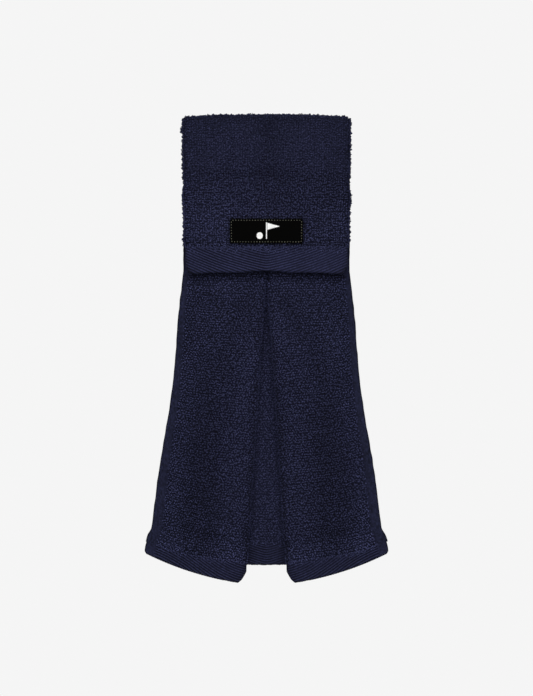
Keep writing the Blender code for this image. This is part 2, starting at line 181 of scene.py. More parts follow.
# ---- outline of the hanging body --------------------------------------------------------------
def outer_x(z):
    """Outer edge of the panel: slants outwards, dips in midway and kicks out near the hem."""
    down = (-135.8 - z) / 246.0
    dip = 2.9 * np.sin(PI * clamp01((down - 0.08) / 0.68)) ** 2
    kick = 3.6 * past(down, 0.925, 0.065) + 0.5 * bell(down, 0.955, 0.018)
    return np.where(down <= 0.0, SIDE_X, SIDE_X + 30.6 * np.minimum(down, 1.0) - dip + kick)


def sag(x):
    """How far the hem hangs below the straight line between its two corners."""
    along = clamp01((x - HEM_INNER[0]) / (HEM_OUTER[0] - HEM_INNER[0]))
    return HEM_SAG * np.abs(np.sin(PI * along)) ** 0.9


def fold_x(z):
    down = np.maximum((PIVOT_Z - z) / (PIVOT_Z - FOLD_END[1]), 0.0)
    return FOLD_END[0] * down ** 0.94


def side_hem_width(z):
    return 4.0 + 5.0 * clamp01((-119.8 - z) / 230.0)


def inner_edge(z):
    gap = 0.3
    relief = gap + np.maximum(z - PIVOT_Z, 0.0) * math.tan(math.radians(4.6))
    return np.where(z > PIVOT_Z, relief, np.maximum(fold_x(z), gap))


HEM_DIR = (HEM_OUTER - HEM_INNER) / np.linalg.norm(HEM_OUTER - HEM_INNER)
HEM_UP = np.array((-HEM_DIR[1], HEM_DIR[0]))
HEM_SLOPE = HEM_DIR[1] / HEM_DIR[0]


def band_line(x, lift):
    """Height of a line parallel to the hanging hem, a perpendicular distance above it."""
    start_x = HEM_INNER[0] + HEM_UP[0] * lift
    start_z = HEM_INNER[1] + HEM_UP[1] * lift
    return start_z + (x - start_x) * HEM_SLOPE - sag(x)


def lift_of(x, z):
    return (x - HEM_INNER[0]) * HEM_UP[0] + (z + sag(x) - HEM_INNER[1]) * HEM_UP[1]


def terry_lift(x):
    return TERRY_LIFT + TERRY_EXTRA * (1 - past(x, 22.0, 76.0))


def front_bottom(x):
    return band_line(x, terry_lift(x))


RETURN_CORNER_X = 16.5
RETURN_BOTTOM_X = (RETURN_CORNER_X, PLEAT_HALF)
RETURN_BOTTOM_Z = (front_bottom(RETURN_CORNER_X), return_band_hi[2])


def return_bottom(x):
    return np.interp(x, RETURN_BOTTOM_X, RETURN_BOTTOM_Z)


def flap_end(x):
    """The flap's lower edge hangs lower towards its corners."""
    away = np.abs(x)
    return -135.4 - 1.25 * past(away, 8.0, 16.0) - 1.8 * clamp01((away - 38.0) / 34.0) ** 1.6


# ---- drape: relief towards the viewer, and the matching light and shade -----------------------
# rows: gain, |x| and z of the centre, radius across and up
FLAP_RELIEF = (
    (1.5, 38, -27, 25, 19), (0.9, 40, -66, 30, 13), (-0.8, 0, -10, 10, 9),
    (-0.7, 0, -46, 11, 8), (0.7, 56, -96, 14, 14),
)
FLAP_LIGHT = (
    (0.17, 38, -24, 24, 16), (0.06, 40, -68, 30, 12), (-0.20, 0, -10, 12, 10),
    (-0.16, 0, -48, 13, 10), (0.10, 57, -97, 15, 15),
)
PANEL_LIGHT = (
    (0.11, 38, -143, 14, 5), (0.08, 29, -155, 12, 8), (-0.07, 62, -153, 12, 11),
    (0.05, 65, -285, 10, 32),
)
FLAP_HALF = 74.0           # width over which the crease across the flap drops and fades


def crease_z(away):
    return -48.0 - 9.0 * away / FLAP_HALF


def flap_relief(x, z):
    away = np.abs(x)
    crease = 1.1 * bell(z, crease_z(away), 5.5) * (1 - 0.35 * away / FLAP_HALF)
    beside_label = past(away, 30, 8) + past(z, -86, 7)      # flat under the label
    ends = below(z, 1.0, 10.0) * (1 - below(z, -106.0, 7.0))
    return (bumps(away, z, FLAP_RELIEF) - crease) * clamp01(beside_label) * ends


def flap_shade(x, z):
    away = np.abs(x)
    tone = 0.98 + bumps(away, z, FLAP_LIGHT)
    tone -= 0.15 * bell(z, crease_z(away), 5.0) * (1 - 0.5 * away / FLAP_HALF)
    # lighter low down, with a dark line over the border and darker on the right
    tone += 0.15 * below(z, -66.0, 28.0) - 0.07 * bell(z, -111.0, 5.0)
    tone -= 0.08 * np.tanh(x / 25.0) * below(z, -46.0, 12.0) * past(z, -108.0, 12.0)
    # dark side edges and crown
    tone -= 0.18 * past(away, 67, 6) + 0.18 * past(z, -6.0, 6.0)
    # darker upper part, but for one lighter patch, and a darker middle
    tone -= 0.06 * past(z, -38.0, 14.0) * (1 - 0.7 * bump(x, z, -12, -15, 18, 20))
    tone -= 0.055 * bump(x, z, 6, -73, 46, 17)
    # contact shade around the label
    from_label = np.hypot(np.maximum(away - label_hi[0], 0.0),
                          np.maximum(np.abs(z - LABEL_Z) - LABEL_HALF_H, 0.0))
    return tone * (1 - 0.50 * bell(from_label, 0, 1.5) * below(z, -60.0, 6.0))


# the valley down the middle of each panel: x at heights z
VALLEY_Z = (-420.0, -363.4, -310.0, -275.2, -228.5, -207.3, -166.8, -138.0, -100.0)
VALLEY_X = (60.0, 60.0, 58.0, 53.5, 47.2, 38.4, 19.0, 6.0, 6.0)


def panel_relief(x, z):
    """Two ridges, one on each side of the valley, and a slow ripple."""
    away = np.abs(x)
    valley = np.interp(z, VALLEY_Z, VALLEY_X)
    fold = fold_x(z)
    inner = bell(away, (fold + valley) * 0.5, np.maximum(0.36 * (valley - fold), 4.0))
    ridges = 2.4 * inner * past(away, fold, 7.0) + 2.6 * bell(away, valley + 23.0, 15.0)
    ripple = 0.3 * np.sin(z / 19.0 + 0.6) * np.sin(away / 17.0)
    return (0.25 + ridges + ripple) * below(z, -141.0, 60.0)


def panel_shade(x, z):
    away = np.abs(x)
    valley = np.interp(z, VALLEY_Z, VALLEY_X)
    fold = fold_x(z)
    low = below(z, -150.0, 40.0)
    deep = below(z, -225.0, 70.0)
    # the valley: narrow higher up, broad lower down
    narrow = 0.15 * bell(away, valley, 8.0) * below(z, -139.0, 16.0)
    broad = 0.28 * np.exp(-(((away - valley) / 16.0) ** 4))
    tone = 1.04 - narrow * (1 - deep) - broad * deep
    # light ridges beside it, and the dark rounded fold
    tone += 0.10 * bell(away, fold + 0.28 * (valley - fold), 8.0) * low
    tone += 0.06 * bell(away, valley + 27.0, 12.0) * low
    tone -= (0.26 + 0.16 * below(z, -345.0, 30.0)) * bell(away, fold, 4.2) * low
    # the head of the pleat
    tone -= 0.34 * bell(away, 0, 2.4) * (1 - low) * below(z, -132.0, 4.0)
    tone += 0.10 * bell(away, 0, 18.0) * (1 - below(z, -250.0, 60.0))
    # a light strip and a thin dark one along the hem
    lift = lift_of(away, z)
    near_hem = below(z, -300.0, 40.0)
    tone += 0.26 * bell(lift - terry_lift(away), 5.0, 9.0) * near_hem
    tone -= 0.06 * bell(lift, 36.0, 4.0) * near_hem
    # single patches
    tone += bumps(away, z, PANEL_LIGHT)
    tone += 0.11 * bump(away, z, valley, -200.0, 9.0, 20.0)
    tone -= 0.08 * bump(away, z, fold + 3.0, -260.0, 6.0, 18.0)
    # the flap's border lies close above and keeps the light off
    from_flap = z - flap_end(x)
    tone += 0.22 * bell(from_flap, -9.0, 7.0) * clamp01((away + 8.0) / 20.0)
    tone *= 1 - 0.62 * bell(from_flap, -0.6, 1.5) * below(away, FLAP_HALF, 3.0)
    return tone


def under_shade(x, z):
    """The cloth behind the pleat is darker beside the folds and in one soft stripe."""
    sides = past(np.abs(x), fold_x(z) - 7.0, 8.0) * below(z, -150, 30)
    return 1.11 - 0.38 * sides - 0.07 * bell(z, -303.0, 26.0)


def even_shade(x, z):
    return np.ones(len(x))


# ---- mesh building ----------------------------------------------------------------------------
class Geo:
    """Collects vertices, faces and a per-vertex tone, then makes one mesh of them."""

    def __init__(self):
        self.verts, self.quads, self.tris, self.tones, self.sides = [], [], [], [], []
        self.count = 0

    def add(self, verts, quads=(), tris=(), tone=1.0, side=0, mirror=False):
        """side puts the part in the front (0) or back (1) half of the UV map."""
        verts = np.asarray(verts, float).reshape(-1, 3)
        quads = np.asarray(quads, np.int64).reshape(-1, 4)
        tris = np.asarray(tris, np.int64).reshape(-1, 3)
        if mirror:
            verts = verts * np.array((-1.0, 1.0, 1.0))
            quads, tris = quads[:, ::-1], tris[:, ::-1]
        self.verts.append(verts)
        self.quads.append(quads + self.count)
        self.tris.append(tris + self.count)
        self.tones.append(np.broadcast_to(np.ravel(tone), (len(verts),)))
        self.sides.append(np.full(len(verts), float(side)))
        self.count += len(verts)

    def build(self, name, material):
        verts = (np.concatenate(self.verts) * MM).astype(np.float32)
        quads, tris = np.concatenate(self.quads), np.concatenate(self.tris)
        mesh = bpy.data.meshes.new(name)
        mesh.vertices.add(len(verts))
        mesh.vertices.foreach_set("co", verts.ravel())
        corners = np.concatenate([quads.ravel(), tris.ravel()]).astype(np.int32)
        mesh.loops.add(len(corners))
        mesh.loops.foreach_set("vertex_index", corners)
        mesh.polygons.add(len(quads) + len(tris))
        starts = np.concatenate([np.arange(len(quads)) * 4,
                                 len(quads) * 4 + np.arange(len(tris)) * 3])
        mesh.polygons.foreach_set("loop_start", starts.astype(np.int32))
        mesh.update(calc_edges=True)
        mesh.shade_smooth()
        # the tone holds the cloth's own variation together with its painted light and shade
        tone = np.concatenate(self.tones).astype(np.float32)
        mesh.attributes.new("tone", "FLOAT", "POINT").data.foreach_set("value", tone)
        # a flat front and back layout, so that nothing needs to be unwrapped loop by loop
        lo, hi = verts.min(0), verts.max(0)
        span_x, span_z = max(hi[0] - lo[0], 1e-6), max(hi[2] - lo[2], 1e-6)
        back = np.concatenate(self.sides) > 0.5
        uv = np.empty((len(verts), 2), np.float32)
        uv[:, 0] = 0.01 + 0.48 * (verts[:, 0] - lo[0]) / span_x + 0.5 * back
        uv[:, 1] = 0.01 + 0.98 * (verts[:, 2] - lo[2]) / span_z
        mesh.uv_layers.new(name="OFBake").data.foreach_set("uv", uv[corners].ravel())
        mesh.materials.append(material)
        ob = bpy.data.objects.new(name, mesh)
        bpy.context.scene.collection.objects.link(ob)
        return ob


def make_piece(geo, name, material, motion, nodes):
    """Builds the mesh, parents it to its body's empty when motion is a name, else bakes its
    transform, and hides the CAD nodes it stands for.
    """
    ob = geo.build(name, material)
    if isinstance(motion, str):
        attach(ob, motion)
    else:
        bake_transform(ob)
    if nodes:
        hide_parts(*nodes)


def unit(vectors):
    return vectors / np.maximum(np.linalg.norm(vectors, axis=-1, keepdims=True), 1e-12)


def points(x, y, z):
    return np.stack(np.broadcast_arrays(x, y, z), -1)


def path_lengths(path):
    return np.concatenate([[0], np.cumsum(np.linalg.norm(np.diff(path, axis=0), axis=1))])


def edge_steps(radius, count=3):
    """Distances from a rounded edge, closer together towards it."""
    return radius * (1 - np.cos(np.linspace(0, PI / 2, count + 1)))


def edge_share(distance, radius):
    """Share of the full thickness at a distance from a rounded edge."""
    return np.sin(np.arccos(1 - distance / radius))


def taper(count, head, tail):
    share = np.ones(count)
    share[:len(head)] = head
    share[-len(tail):] = tail
    return share


def across(width, count, radius):
    """Positions across a strip, closer together at its rounded edges, and its thickness share."""
    width = np.atleast_1d(np.asarray(width, float))[:, None]
    edge = edge_steps(radius)
    inner = np.linspace(0, 1, count + 1)[1:-1]
    near = np.broadcast_to(edge, (len(width), len(edge)))
    position = np.concatenate(
        [near, radius + inner * (width - 2 * radius), width - edge[::-1]], axis=1)
    full = edge_share(edge, radius)
    return position, taper(position.shape[1], full, full[::-1])


def rounded_rows(rows, radius):
    """Heights from top to bottom with extra rows at both rounded ends, and thickness shares."""
    top, bottom, margin = rows[0], rows[-1], 0.9
    edge = edge_steps(radius)
    inner = rows[(rows < top - margin) & (rows > bottom + margin)]
    rows = np.concatenate([top - edge[:-1], inner, (bottom + edge)[::-1]])
    share = edge_share(edge, radius)
    return rows, taper(len(rows), share[:-1], share[::-1])


def grid_normals(grid):
    return unit(np.cross(np.gradient(grid, axis=0), np.gradient(grid, axis=1)))


def sheet(geo, middle, normal, half_front, half_back=None, tone=1.0, mirror=False):
    """A closed sheet about a grid of middle points. Its half thickness is zero at the border."""
    if half_back is None:
        half_back = half_front
    rows, cols = middle.shape[:2]
    front = middle + normal * half_front[..., None]
    back = middle - normal * half_back[..., None]
    fi = np.arange(rows * cols).reshape(rows, cols)
    bi = fi.copy()
    inside = (rows - 2) * (cols - 2)
    bi[1:-1, 1:-1] = rows * cols + np.arange(inside).reshape(rows - 2, cols - 2)
    verts = np.concatenate([front.reshape(-1, 3), back[1:-1, 1:-1].reshape(-1, 3)])
    tone = np.broadcast_to(tone, (rows, cols))
    tones = np.concatenate([tone.ravel(), tone[1:-1, 1:-1].ravel()])
    front_quads = np.stack([fi[:-1, :-1], fi[1:, :-1], fi[1:, 1:], fi[:-1, 1:]], -1)
    back_quads = np.stack([bi[:-1, :-1], bi[:-1, 1:], bi[1:, 1:], bi[1:, :-1]], -1)
    quads = np.concatenate([front_quads.reshape(-1, 4), back_quads.reshape(-1, 4)])
    geo.add(verts, quads, tone=tones, mirror=mirror)
    return front, back


def tubes(geo, centres, radii, ref, sides=4, tone=1.0, side=0, mirror=False):
    """Closed round threads along centre lines (n, m, 3) with radii (n, m) and pointed ends."""
    n, m = centres.shape[:2]
    tangent = unit(np.gradient(centres, axis=1))
    ref = ref[:, None, :]
    up = unit(ref - np.sum(ref * tangent, -1, keepdims=True) * tangent)
    wide = np.cross(tangent, up)
    angle = (2 * PI * np.arange(sides) / sides)[:, None]
    around = np.cos(angle) * wide[:, 1:-1, None, :] + np.sin(angle) * up[:, 1:-1, None, :]
    ring = centres[:, 1:-1, None, :] + radii[:, 1:-1, None, None] * around
    body = (m - 2) * sides
    per = body + 2
    verts = np.concatenate([ring.reshape(n, body, 3), centres[:, :1], centres[:, -1:]], axis=1)
    idx = np.arange(body).reshape(m - 2, sides)
    nxt = np.roll(idx, -1, axis=1)
    quads = np.stack([idx[:-1], idx[1:], nxt[1:], nxt[:-1]], -1).reshape(-1, 4)
    start_tris = np.stack([np.full(sides, body), idx[0], nxt[0]], -1)
    end_tris = np.stack([idx[-1], np.full(sides, body + 1), nxt[-1]], -1)
    tris = np.concatenate([start_tris, end_tris])
    offset = (np.arange(n) * per)[:, None, None]
    if np.ndim(tone) == 2:
        rings = np.repeat(tone[:, 1:-1], sides, axis=1)
        tone = np.concatenate([rings, tone[:, :1], tone[:, -1:]], axis=1)
    elif np.ndim(tone) == 1:
        tone = np.repeat(tone, per)
    geo.add(verts, quads[None] + offset, tris[None] + offset, tone, side, mirror)


# ---- terry loops ------------------------------------------------------------------------------
PITCH, PITCH_REAR = 2.26, 2.30
PAIR = 0.55                # distance between the two loops of a doubled pile yarn
GROUND = 0.20              # the woven ground between the loops lies in their shade
# loop shapes: base width, height, yarn radius and range of lean in radians
FRONT = dict(width=1.0, height=1.3, radius=0.36, lean=(0.15, 0.60))
REAR = dict(width=1.15, height=1.45, radius=0.38, lean=(0.15, 0.70))
INNER = dict(seg=5, radius=0.46, width=2.4, height=1.3, lean=(0.8, 1.25))
RETURN = dict(INNER, height=0.95, lean=(0.9, 1.3))
UNDER_EDGE = dict(seg=5, radius=0.43, width=2.2)
TUFTS = 3.9                # distance between the tufts down the side edges


def scatter(grid, normal, pitch_u, pitch_v, rng, pair=0.0, stagger=0.25, jitter_v=0.13):
    """Places for loops in staggered rows over a grid: points, normals and two directions.

    With pair, two loops stand this far apart at every place, as a doubled pile yarn does.
    """
    rows, cols = grid.shape[:2]
    step_v = np.linalg.norm(np.diff(grid, axis=0), axis=2).mean(1)
    length_v = np.concatenate([[0], np.cumsum(step_v)])
    count_v = max(int(round(length_v[-1] / pitch_v)), 1)
    place, normals, sideways = [], [], []
    for k in range(count_v):
        at_v = np.interp((k + 0.5) * length_v[-1] / count_v, length_v, np.arange(rows))
        j = min(int(at_v), rows - 2)
        part = at_v - j
        row = grid[j] * (1 - part) + grid[j + 1] * part
        row_normal = normal[j] * (1 - part) + normal[j + 1] * part
        down = grid[j + 1] - grid[j]
        length_u = path_lengths(row)
        n = max(int(round(length_u[-1] / pitch_u)), 1)
        shift = stagger if k % 2 else -stagger
        along = (np.arange(n) + 0.5 + shift + rng.normal(0, 0.12, n)) * length_u[-1] / n
        at_u = np.interp(np.clip(along, 0.2, length_u[-1] - 0.2), length_u, np.arange(cols))
        i = np.minimum(at_u.astype(int), cols - 2)
        part = (at_u - i)[:, None]
        stray = unit(down[i]) * rng.normal(0, jitter_v * pitch_v, n)[:, None]
        place.append(row[i] * (1 - part) + row[i + 1] * part + stray)
        normals.append(row_normal[i] * (1 - part) + row_normal[i + 1] * part)
        sideways.append(row[i + 1] - row[i])
    place = np.concatenate(place)
    normals = unit(np.concatenate(normals))
    sideways = np.concatenate(sideways)
    sideways = unit(sideways - np.sum(sideways * normals, -1, keepdims=True) * normals)
    updown = unit(np.cross(normals, sideways))
    if pair:
        turn = rng.uniform(0, 2 * PI, len(place))[:, None]
        offset = (sideways * np.cos(turn) + updown * np.sin(turn)) * pair / 2
        place = np.concatenate([place + offset, place - offset])
        normals, sideways, updown = [np.concatenate([a, a]) for a in (normals, sideways, updown)]
    return place, normals, sideways, updown


def kept(spots, keep):
    return [part[keep] for part in spots]


def covered(place, lo, hi, margin_x, margin_z):
    """Which places lie behind or under a box centred on x = 0, grown by the margins."""
    z = place[:, 2]
    wide = np.abs(place[:, 0]) < hi[0] + margin_x
    return wide & (z < hi[2] + margin_z) & (z > lo[2] - margin_z)


def terry(geo, spots, rng, shade, width=1.45, height=1.45, radius=0.33, seg=4,
          lean=(0.40, 1.00), down=0.8, spread=0.55, side=0, mirror=False, root=0.30,
          contrast=0.13, deep=0.23):
    """Terry loops: small arches of yarn that lean over and cross each other.

    shade is a value, one value for each loop, or a function of x and z. down is the share of
    loops that lean downwards, deep is the tone at a loop's foot: each loop carries painted
    shade, darker from its lighter crest down to its foot.
    """
    place, normal, sideways, updown = spots
    n = len(place)
    if callable(shade):
        shade = shade(place[:, 0], place[:, 2])

    def vary(spread_of, lowest, highest):
        return np.clip(rng.normal(1, spread_of, n), lowest, highest)

    turn = rng.normal(0.0, spread, n)[:, None]
    direction = sideways * np.cos(turn) + updown * np.sin(turn)
    fall = np.cross(normal, direction)
    sign = np.where(rng.random(n) < down, 1.0, -1.0) * np.where(fall[:, 2] > 0, -1.0, 1.0)
    tilt = rng.uniform(lean[0], lean[1], n)
    up = normal * np.cos(tilt)[:, None] + fall * (np.sin(tilt) * sign)[:, None]
    widths = width * vary(0.16, 0.6, 1.5)
    heights = np.asarray(height) * vary(0.18, 0.55, 1.6)
    radii = radius * vary(0.09, 0.75, 1.3)
    angle = PI * np.linspace(0, 1, seg + 1)
    rise = np.sin(angle)
    along = 0.5 * np.cos(angle) * (1 + 0.35 * rise)
    skew = rng.normal(0, 0.22, n)
    twist = np.cross(direction, up)
    sway = rng.normal(0, 0.22, n)
    centres = (place - normal * root)[:, None, :]
    run = widths[:, None] * along + (skew * heights)[:, None] * rise
    centres = centres + direction[:, None, :] * run[..., None]
    centres = centres + up[:, None, :] * (heights[:, None] * rise)[..., None]
    swing = (sway * heights)[:, None] * np.sin(2 * angle)
    centres = centres + twist[:, None, :] * swing[..., None]
    tube_radii = radii[:, None] * (0.8 + 0.25 * rise)
    tone = shade * vary(contrast, 0.30, 1.9)
    # painted light and shade: the loop's crest lighter, its foot darker where the loops shade it
    deep = np.broadcast_to(np.asarray(deep, float), (n,))[:, None]
    tone = tone[:, None] * (deep + (1.16 - deep) * rise ** 1.2)
    tubes(geo, centres, tube_radii, twist, tone=tone, side=side, mirror=mirror)


def edge_loops(geo, edge, outward, along, rng, shade, pitch=2.0, height=1.5, side=0,
               clump=None, swing=1.6, **shape):
    """A row of loops that stand out from an edge; clump gathers them into small tufts."""
    lengths = path_lengths(edge)
    if clump:
        k = max(int(lengths[-1] / clump), 1)
        centre = (np.arange(k) + 0.5 + rng.normal(0, 0.13, k)) * lengths[-1] / k
        size = np.clip(rng.normal(1.0, 0.22, k), 0.5, 1.5)
        each = 7
        offset = np.linspace(-0.42, 0.42, each)[None] * clump
        at = (centre[:, None] + offset + rng.normal(0, 0.10, (k, each))).ravel()
        tall = (size[:, None] * np.sqrt(1 - (offset / (0.52 * clump)) ** 2)).ravel()
    else:
        n = max(int(lengths[-1] / pitch), 1)
        at = (np.arange(n) + 0.5 + rng.normal(0, 0.22, n)) * lengths[-1] / n
        tall = np.full(n, 0.35)
    at = np.clip(at, 0, lengths[-1])
    n = len(at)
    at = np.interp(at, lengths, np.arange(len(edge)))
    i = np.minimum(at.astype(int), len(edge) - 2)
    part = (at - i)[:, None]
    place = edge[i] * (1 - part) + edge[i + 1] * part
    normal = unit(outward + rng.normal(0, 0.15, (n, 3)))
    sideways = unit(np.cross(normal, np.broadcast_to(along, (n, 3))))
    updown = unit(np.cross(normal, sideways))
    # painted shade: loops along an edge are darker than the rest, and the tufts that reach out
    # darker still
    level = 0.72 * shade(place[:, 0], place[:, 2])
    reach = swing * (tall - 0.45)
    spots = (place + normal * reach[:, None], normal, sideways, updown)
    terry(geo, spots, rng, level, height=height, lean=(0.1, 0.6), side=side, spread=0.9, **shape)
    # the tufts that reach out are rooted in the edge
    far = reach > 0.2
    spots = kept((place, normal, sideways, updown), far)
    terry(geo, spots, rng, 0.8 * level[far], height=reach[far] + 0.45, lean=(0.0, 0.15),
          side=side, spread=0.9, **shape)


def side_edge_loops(geo, edge, sign, tilt, seed, shade, shift=0.0, **options):
    """Edge loops down a side edge; shift moves their roots outwards."""
    outward = unit(np.array((sign, tilt, 0.0)))
    edge_loops(geo, edge + outward * shift, outward, (0, 0, 1), np.random.default_rng(seed),
               shade, **options)


def top_edge_loops(geo, edge, tilt, seed, shade, shift=0.0, **options):
    outward = unit(np.array((0.0, tilt, 1.0)))
    edge_loops(geo, edge + outward * shift, outward, (1, 0, 0), np.random.default_rng(seed),
               shade, **options)


def thinning_pile(geo, surface, normal, rng, drop_of, shade, loss=1.05, height=1.0,
                  height_loss=0.4, half_width=math.inf, mirror=False):
    """Loops that thin out and shorten down a border; drop_of gives how far down they are."""
    spots = scatter(surface, normal, PITCH, PITCH * 0.9, rng, pair=PAIR)
    drop = drop_of(spots[0])
    keep = rng.random(len(drop)) > 0.10 + loss * drop
    keep &= np.abs(spots[0][:, 0]) < half_width
    terry(geo, kept(spots, keep), rng, shade, mirror=mirror, root=0.35, width=1.2,
          height=height - height_loss * drop[keep])


# ---- stitches ---------------------------------------------------------------------------------
FORWARD = np.array((0.0, -1.0, 0.0))
BACKWARD = -FORWARD


def dashes(geo, path, normal, pitch, length, radius, rng, mirror=False):
    """Lockstitches: short rounded threads, one after another, along a path on a surface."""
    bow, sunk = 0.16, 0.10
    lengths = path_lengths(path)
    n = max(int(round(lengths[-1] / pitch)), 1)
    middles = (np.arange(n) + 0.5) * lengths[-1] / n
    t = np.linspace(-1, 1, 9)
    at = middles[:, None] + t[None] * length / 2
    centres = np.stack([np.interp(at, lengths, path[:, axis]) for axis in range(3)], -1)
    normals = np.broadcast_to(normal, (n, 3))
    centres = centres + normals[:, None, :] * (bow * (1 - t ** 4) - sunk)[None, :, None]
    radii = radius * np.sqrt(np.maximum(1 - t ** 4, 0.0))[None].repeat(n, 0)
    radii = radii * rng.normal(1, 0.05, n)[:, None]
    tone = np.clip(rng.normal(1, 0.10, n), 0.7, 1.3)
    tubes(geo, centres, radii, normals, 6, tone, mirror=mirror)


# ---- materials --------------------------------------------------------------------------------
def cloth_material(name, base, roughness=(0.82, 0.97), sheen=0.0, sheen_tint=(0.35, 0.38, 0.6),
                   weave=None, weave_depth=0.0, mottled=0.10, speckle=0.10, grain=620.0,
                   peak=1.0, spec=0.2):
    """Cotton cloth or yarn, coloured by its base times the mesh's tone attribute.

    mottled and speckle are the depths of the broad and the fine spots, grain is the scale of
    the fine ones and peak stretches their light side. weave lists direction and scale of bands.
    """
    mat = bpy.data.materials.new(name)
    mat.use_nodes = True
    tree = mat.node_tree
    tree.nodes.clear()
    new, link = tree.nodes.new, tree.links.new
    out = new("ShaderNodeOutputMaterial")
    bsdf = new("ShaderNodeBsdfPrincipled")
    link(bsdf.outputs[0], out.inputs[0])
    coord = new("ShaderNodeTexCoord")
    attr = new("ShaderNodeAttribute")
    attr.attribute_name = "tone"

    def noise(scale, detail):
        node = new("ShaderNodeTexNoise")
        node.inputs["Scale"].default_value = scale
        node.inputs["Detail"].default_value = detail
        link(coord.outputs["Object"], node.inputs["Vector"])
        return node.outputs["Fac"]

    def remap(source, lo, hi):
        node = new("ShaderNodeMapRange")
        node.inputs["From Min"].default_value = 0.25
        node.inputs["From Max"].default_value = 0.75
        node.inputs["To Min"].default_value = lo
        node.inputs["To Max"].default_value = hi
        link(source, node.inputs["Value"])
        return node.outputs["Result"]

    def times(a, b):
        node = new("ShaderNodeMath")
        node.operation = "MULTIPLY"
        link(a, node.inputs[0])
        link(b, node.inputs[1])
        return node.outputs[0]

    def bump_node(height, strength, distance):
        node = new("ShaderNodeBump")
        node.inputs["Strength"].default_value = strength
        node.inputs["Distance"].default_value = distance
        link(height, node.inputs["Height"])
        return node

    broad = noise(scale=38.0, detail=3.0)
    spot = noise(scale=grain, detail=2.0)
    shade = times(attr.outputs["Fac"], remap(broad, 1 - mottled, 1 + mottled))
    shade = times(shade, remap(spot, 1 - speckle, 1 + peak * speckle))
    fibre = noise(scale=1500.0, detail=2.0)
    if weave:
        # crossing threads: two sets of fine bands, one over the other
        crossed = None
        for direction, scale in weave:
            bands = new("ShaderNodeTexWave")
            bands.wave_type = "BANDS"
            bands.bands_direction = direction
            bands.inputs["Scale"].default_value = scale
            bands.inputs["Distortion"].default_value = 1.2
            bands.inputs["Detail"].default_value = 1.0
            bands.inputs["Detail Scale"].default_value = 2.0
            link(coord.outputs["Object"], bands.inputs["Vector"])
            fac = bands.outputs["Fac"]
            crossed = fac if crossed is None else times(crossed, fac)
        shade = times(shade, remap(crossed, 1 - 0.14, 1 + 0.10))
        weave_bump = bump_node(crossed, strength=weave_depth, distance=0.0002)
    colour = new("ShaderNodeVectorMath")
    colour.operation = "SCALE"
    colour.inputs[0].default_value = base
    link(shade, colour.inputs["Scale"])
    link(colour.outputs[0], bsdf.inputs["Base Color"])
    link(remap(spot, *roughness), bsdf.inputs["Roughness"])
    fibre_bump = bump_node(fibre, strength=0.25, distance=0.0001)
    if weave:
        link(weave_bump.outputs[0], fibre_bump.inputs["Normal"])
    link(fibre_bump.outputs[0], bsdf.inputs["Normal"])
    bsdf.inputs["Sheen Weight"].default_value = sheen
    bsdf.inputs["Sheen Roughness"].default_value = 0.45
    bsdf.inputs["Sheen Tint"].default_value = (*sheen_tint, 1.0)
    bsdf.inputs["Specular IOR Level"].default_value = spec
    return mat


NAVY = (0.0369, 0.0406, 0.0946)
NAVY_BAND = (0.0165, 0.0182, 0.0465)
NAVY_HEM = (0.0116, 0.0130, 0.0322)
NAVY_THREAD = (0.0085, 0.0093, 0.0230)
NAVY_SHEEN = dict(sheen=0.03, sheen_tint=(0.2, 0.24, 0.6))
TERRY_LOOK = dict(NAVY_SHEEN, spec=0.06, speckle=1.05, grain=960.0, peak=0.70)

m_terry = cloth_material("terry_navy", NAVY, **TERRY_LOOK)
m_terry_in = cloth_material("terry_navy_inside", NAVY, **TERRY_LOOK)
m_band = cloth_material(
    "ribbed_border_navy", NAVY_BAND, roughness=(0.78, 0.93), spec=0.08, mottled=0.07,
    weave=(("X", 900.0), ("Z", 700.0)), weave_depth=0.5, speckle=0.55, grain=800.0, peak=0.9,
    **NAVY_SHEEN)
m_hem = cloth_material(
    "side_hem_navy", NAVY_HEM, roughness=(0.80, 0.94), spec=0.08, mottled=0.14,
    weave=(("X", 460.0), ("Z", 430.0)), weave_depth=0.8, speckle=0.60, **NAVY_SHEEN)
m_thread = cloth_material(
    "thread_navy", NAVY_THREAD, roughness=(0.7, 0.85), spec=0.08, mottled=0.04, speckle=0.06)
m_label = cloth_material(
    "label_black_woven", (0.0017, 0.0017, 0.0016), roughness=(0.9, 1.0), spec=0.015,
    weave=(("X", 1100.0), ("Z", 1500.0)), weave_depth=0.7)
m_olive = cloth_material(
    "thread_olive_grey", (0.200, 0.200, 0.158), roughness=(0.45, 0.7), sheen=0.05,
    mottled=0.05, speckle=0.08)
m_white = cloth_material(
    "embroidery_white", (0.86, 0.86, 0.85), roughness=(0.40, 0.6), sheen=0.05,
    sheen_tint=(1, 1, 1), mottled=0.03, speckle=0.05)
m_hook = cloth_material(
    "hook_nylon_black", (0.010, 0.010, 0.014), roughness=(0.30, 0.5), mottled=0.05)
m_loop = cloth_material(
    "loop_nylon_black", (0.012, 0.012, 0.018), roughness=(0.6, 0.85), sheen=0.15, mottled=0.08)


# ---- the flap's border ------------------------------------------------------------------------
def cords(phase):
    return (0.5 + 0.5 * np.cos(2 * PI * phase)) ** 0.9


def flap_cord_phase(x, z):
    """The cords drop towards the middle, steeper the nearer they are to it."""
    reach, steep, ease, start_z = 69.0, 0.47, 0.26, -126.0
    from_side = reach - soft_abs(x)
    drop = -(steep * from_side - (ease / reach) * from_side * from_side / 2)
    slope = steep - ease * from_side / reach
    return (z - start_z - drop) / np.sqrt(1 + slope ** 2) / (RIB * 0.985)


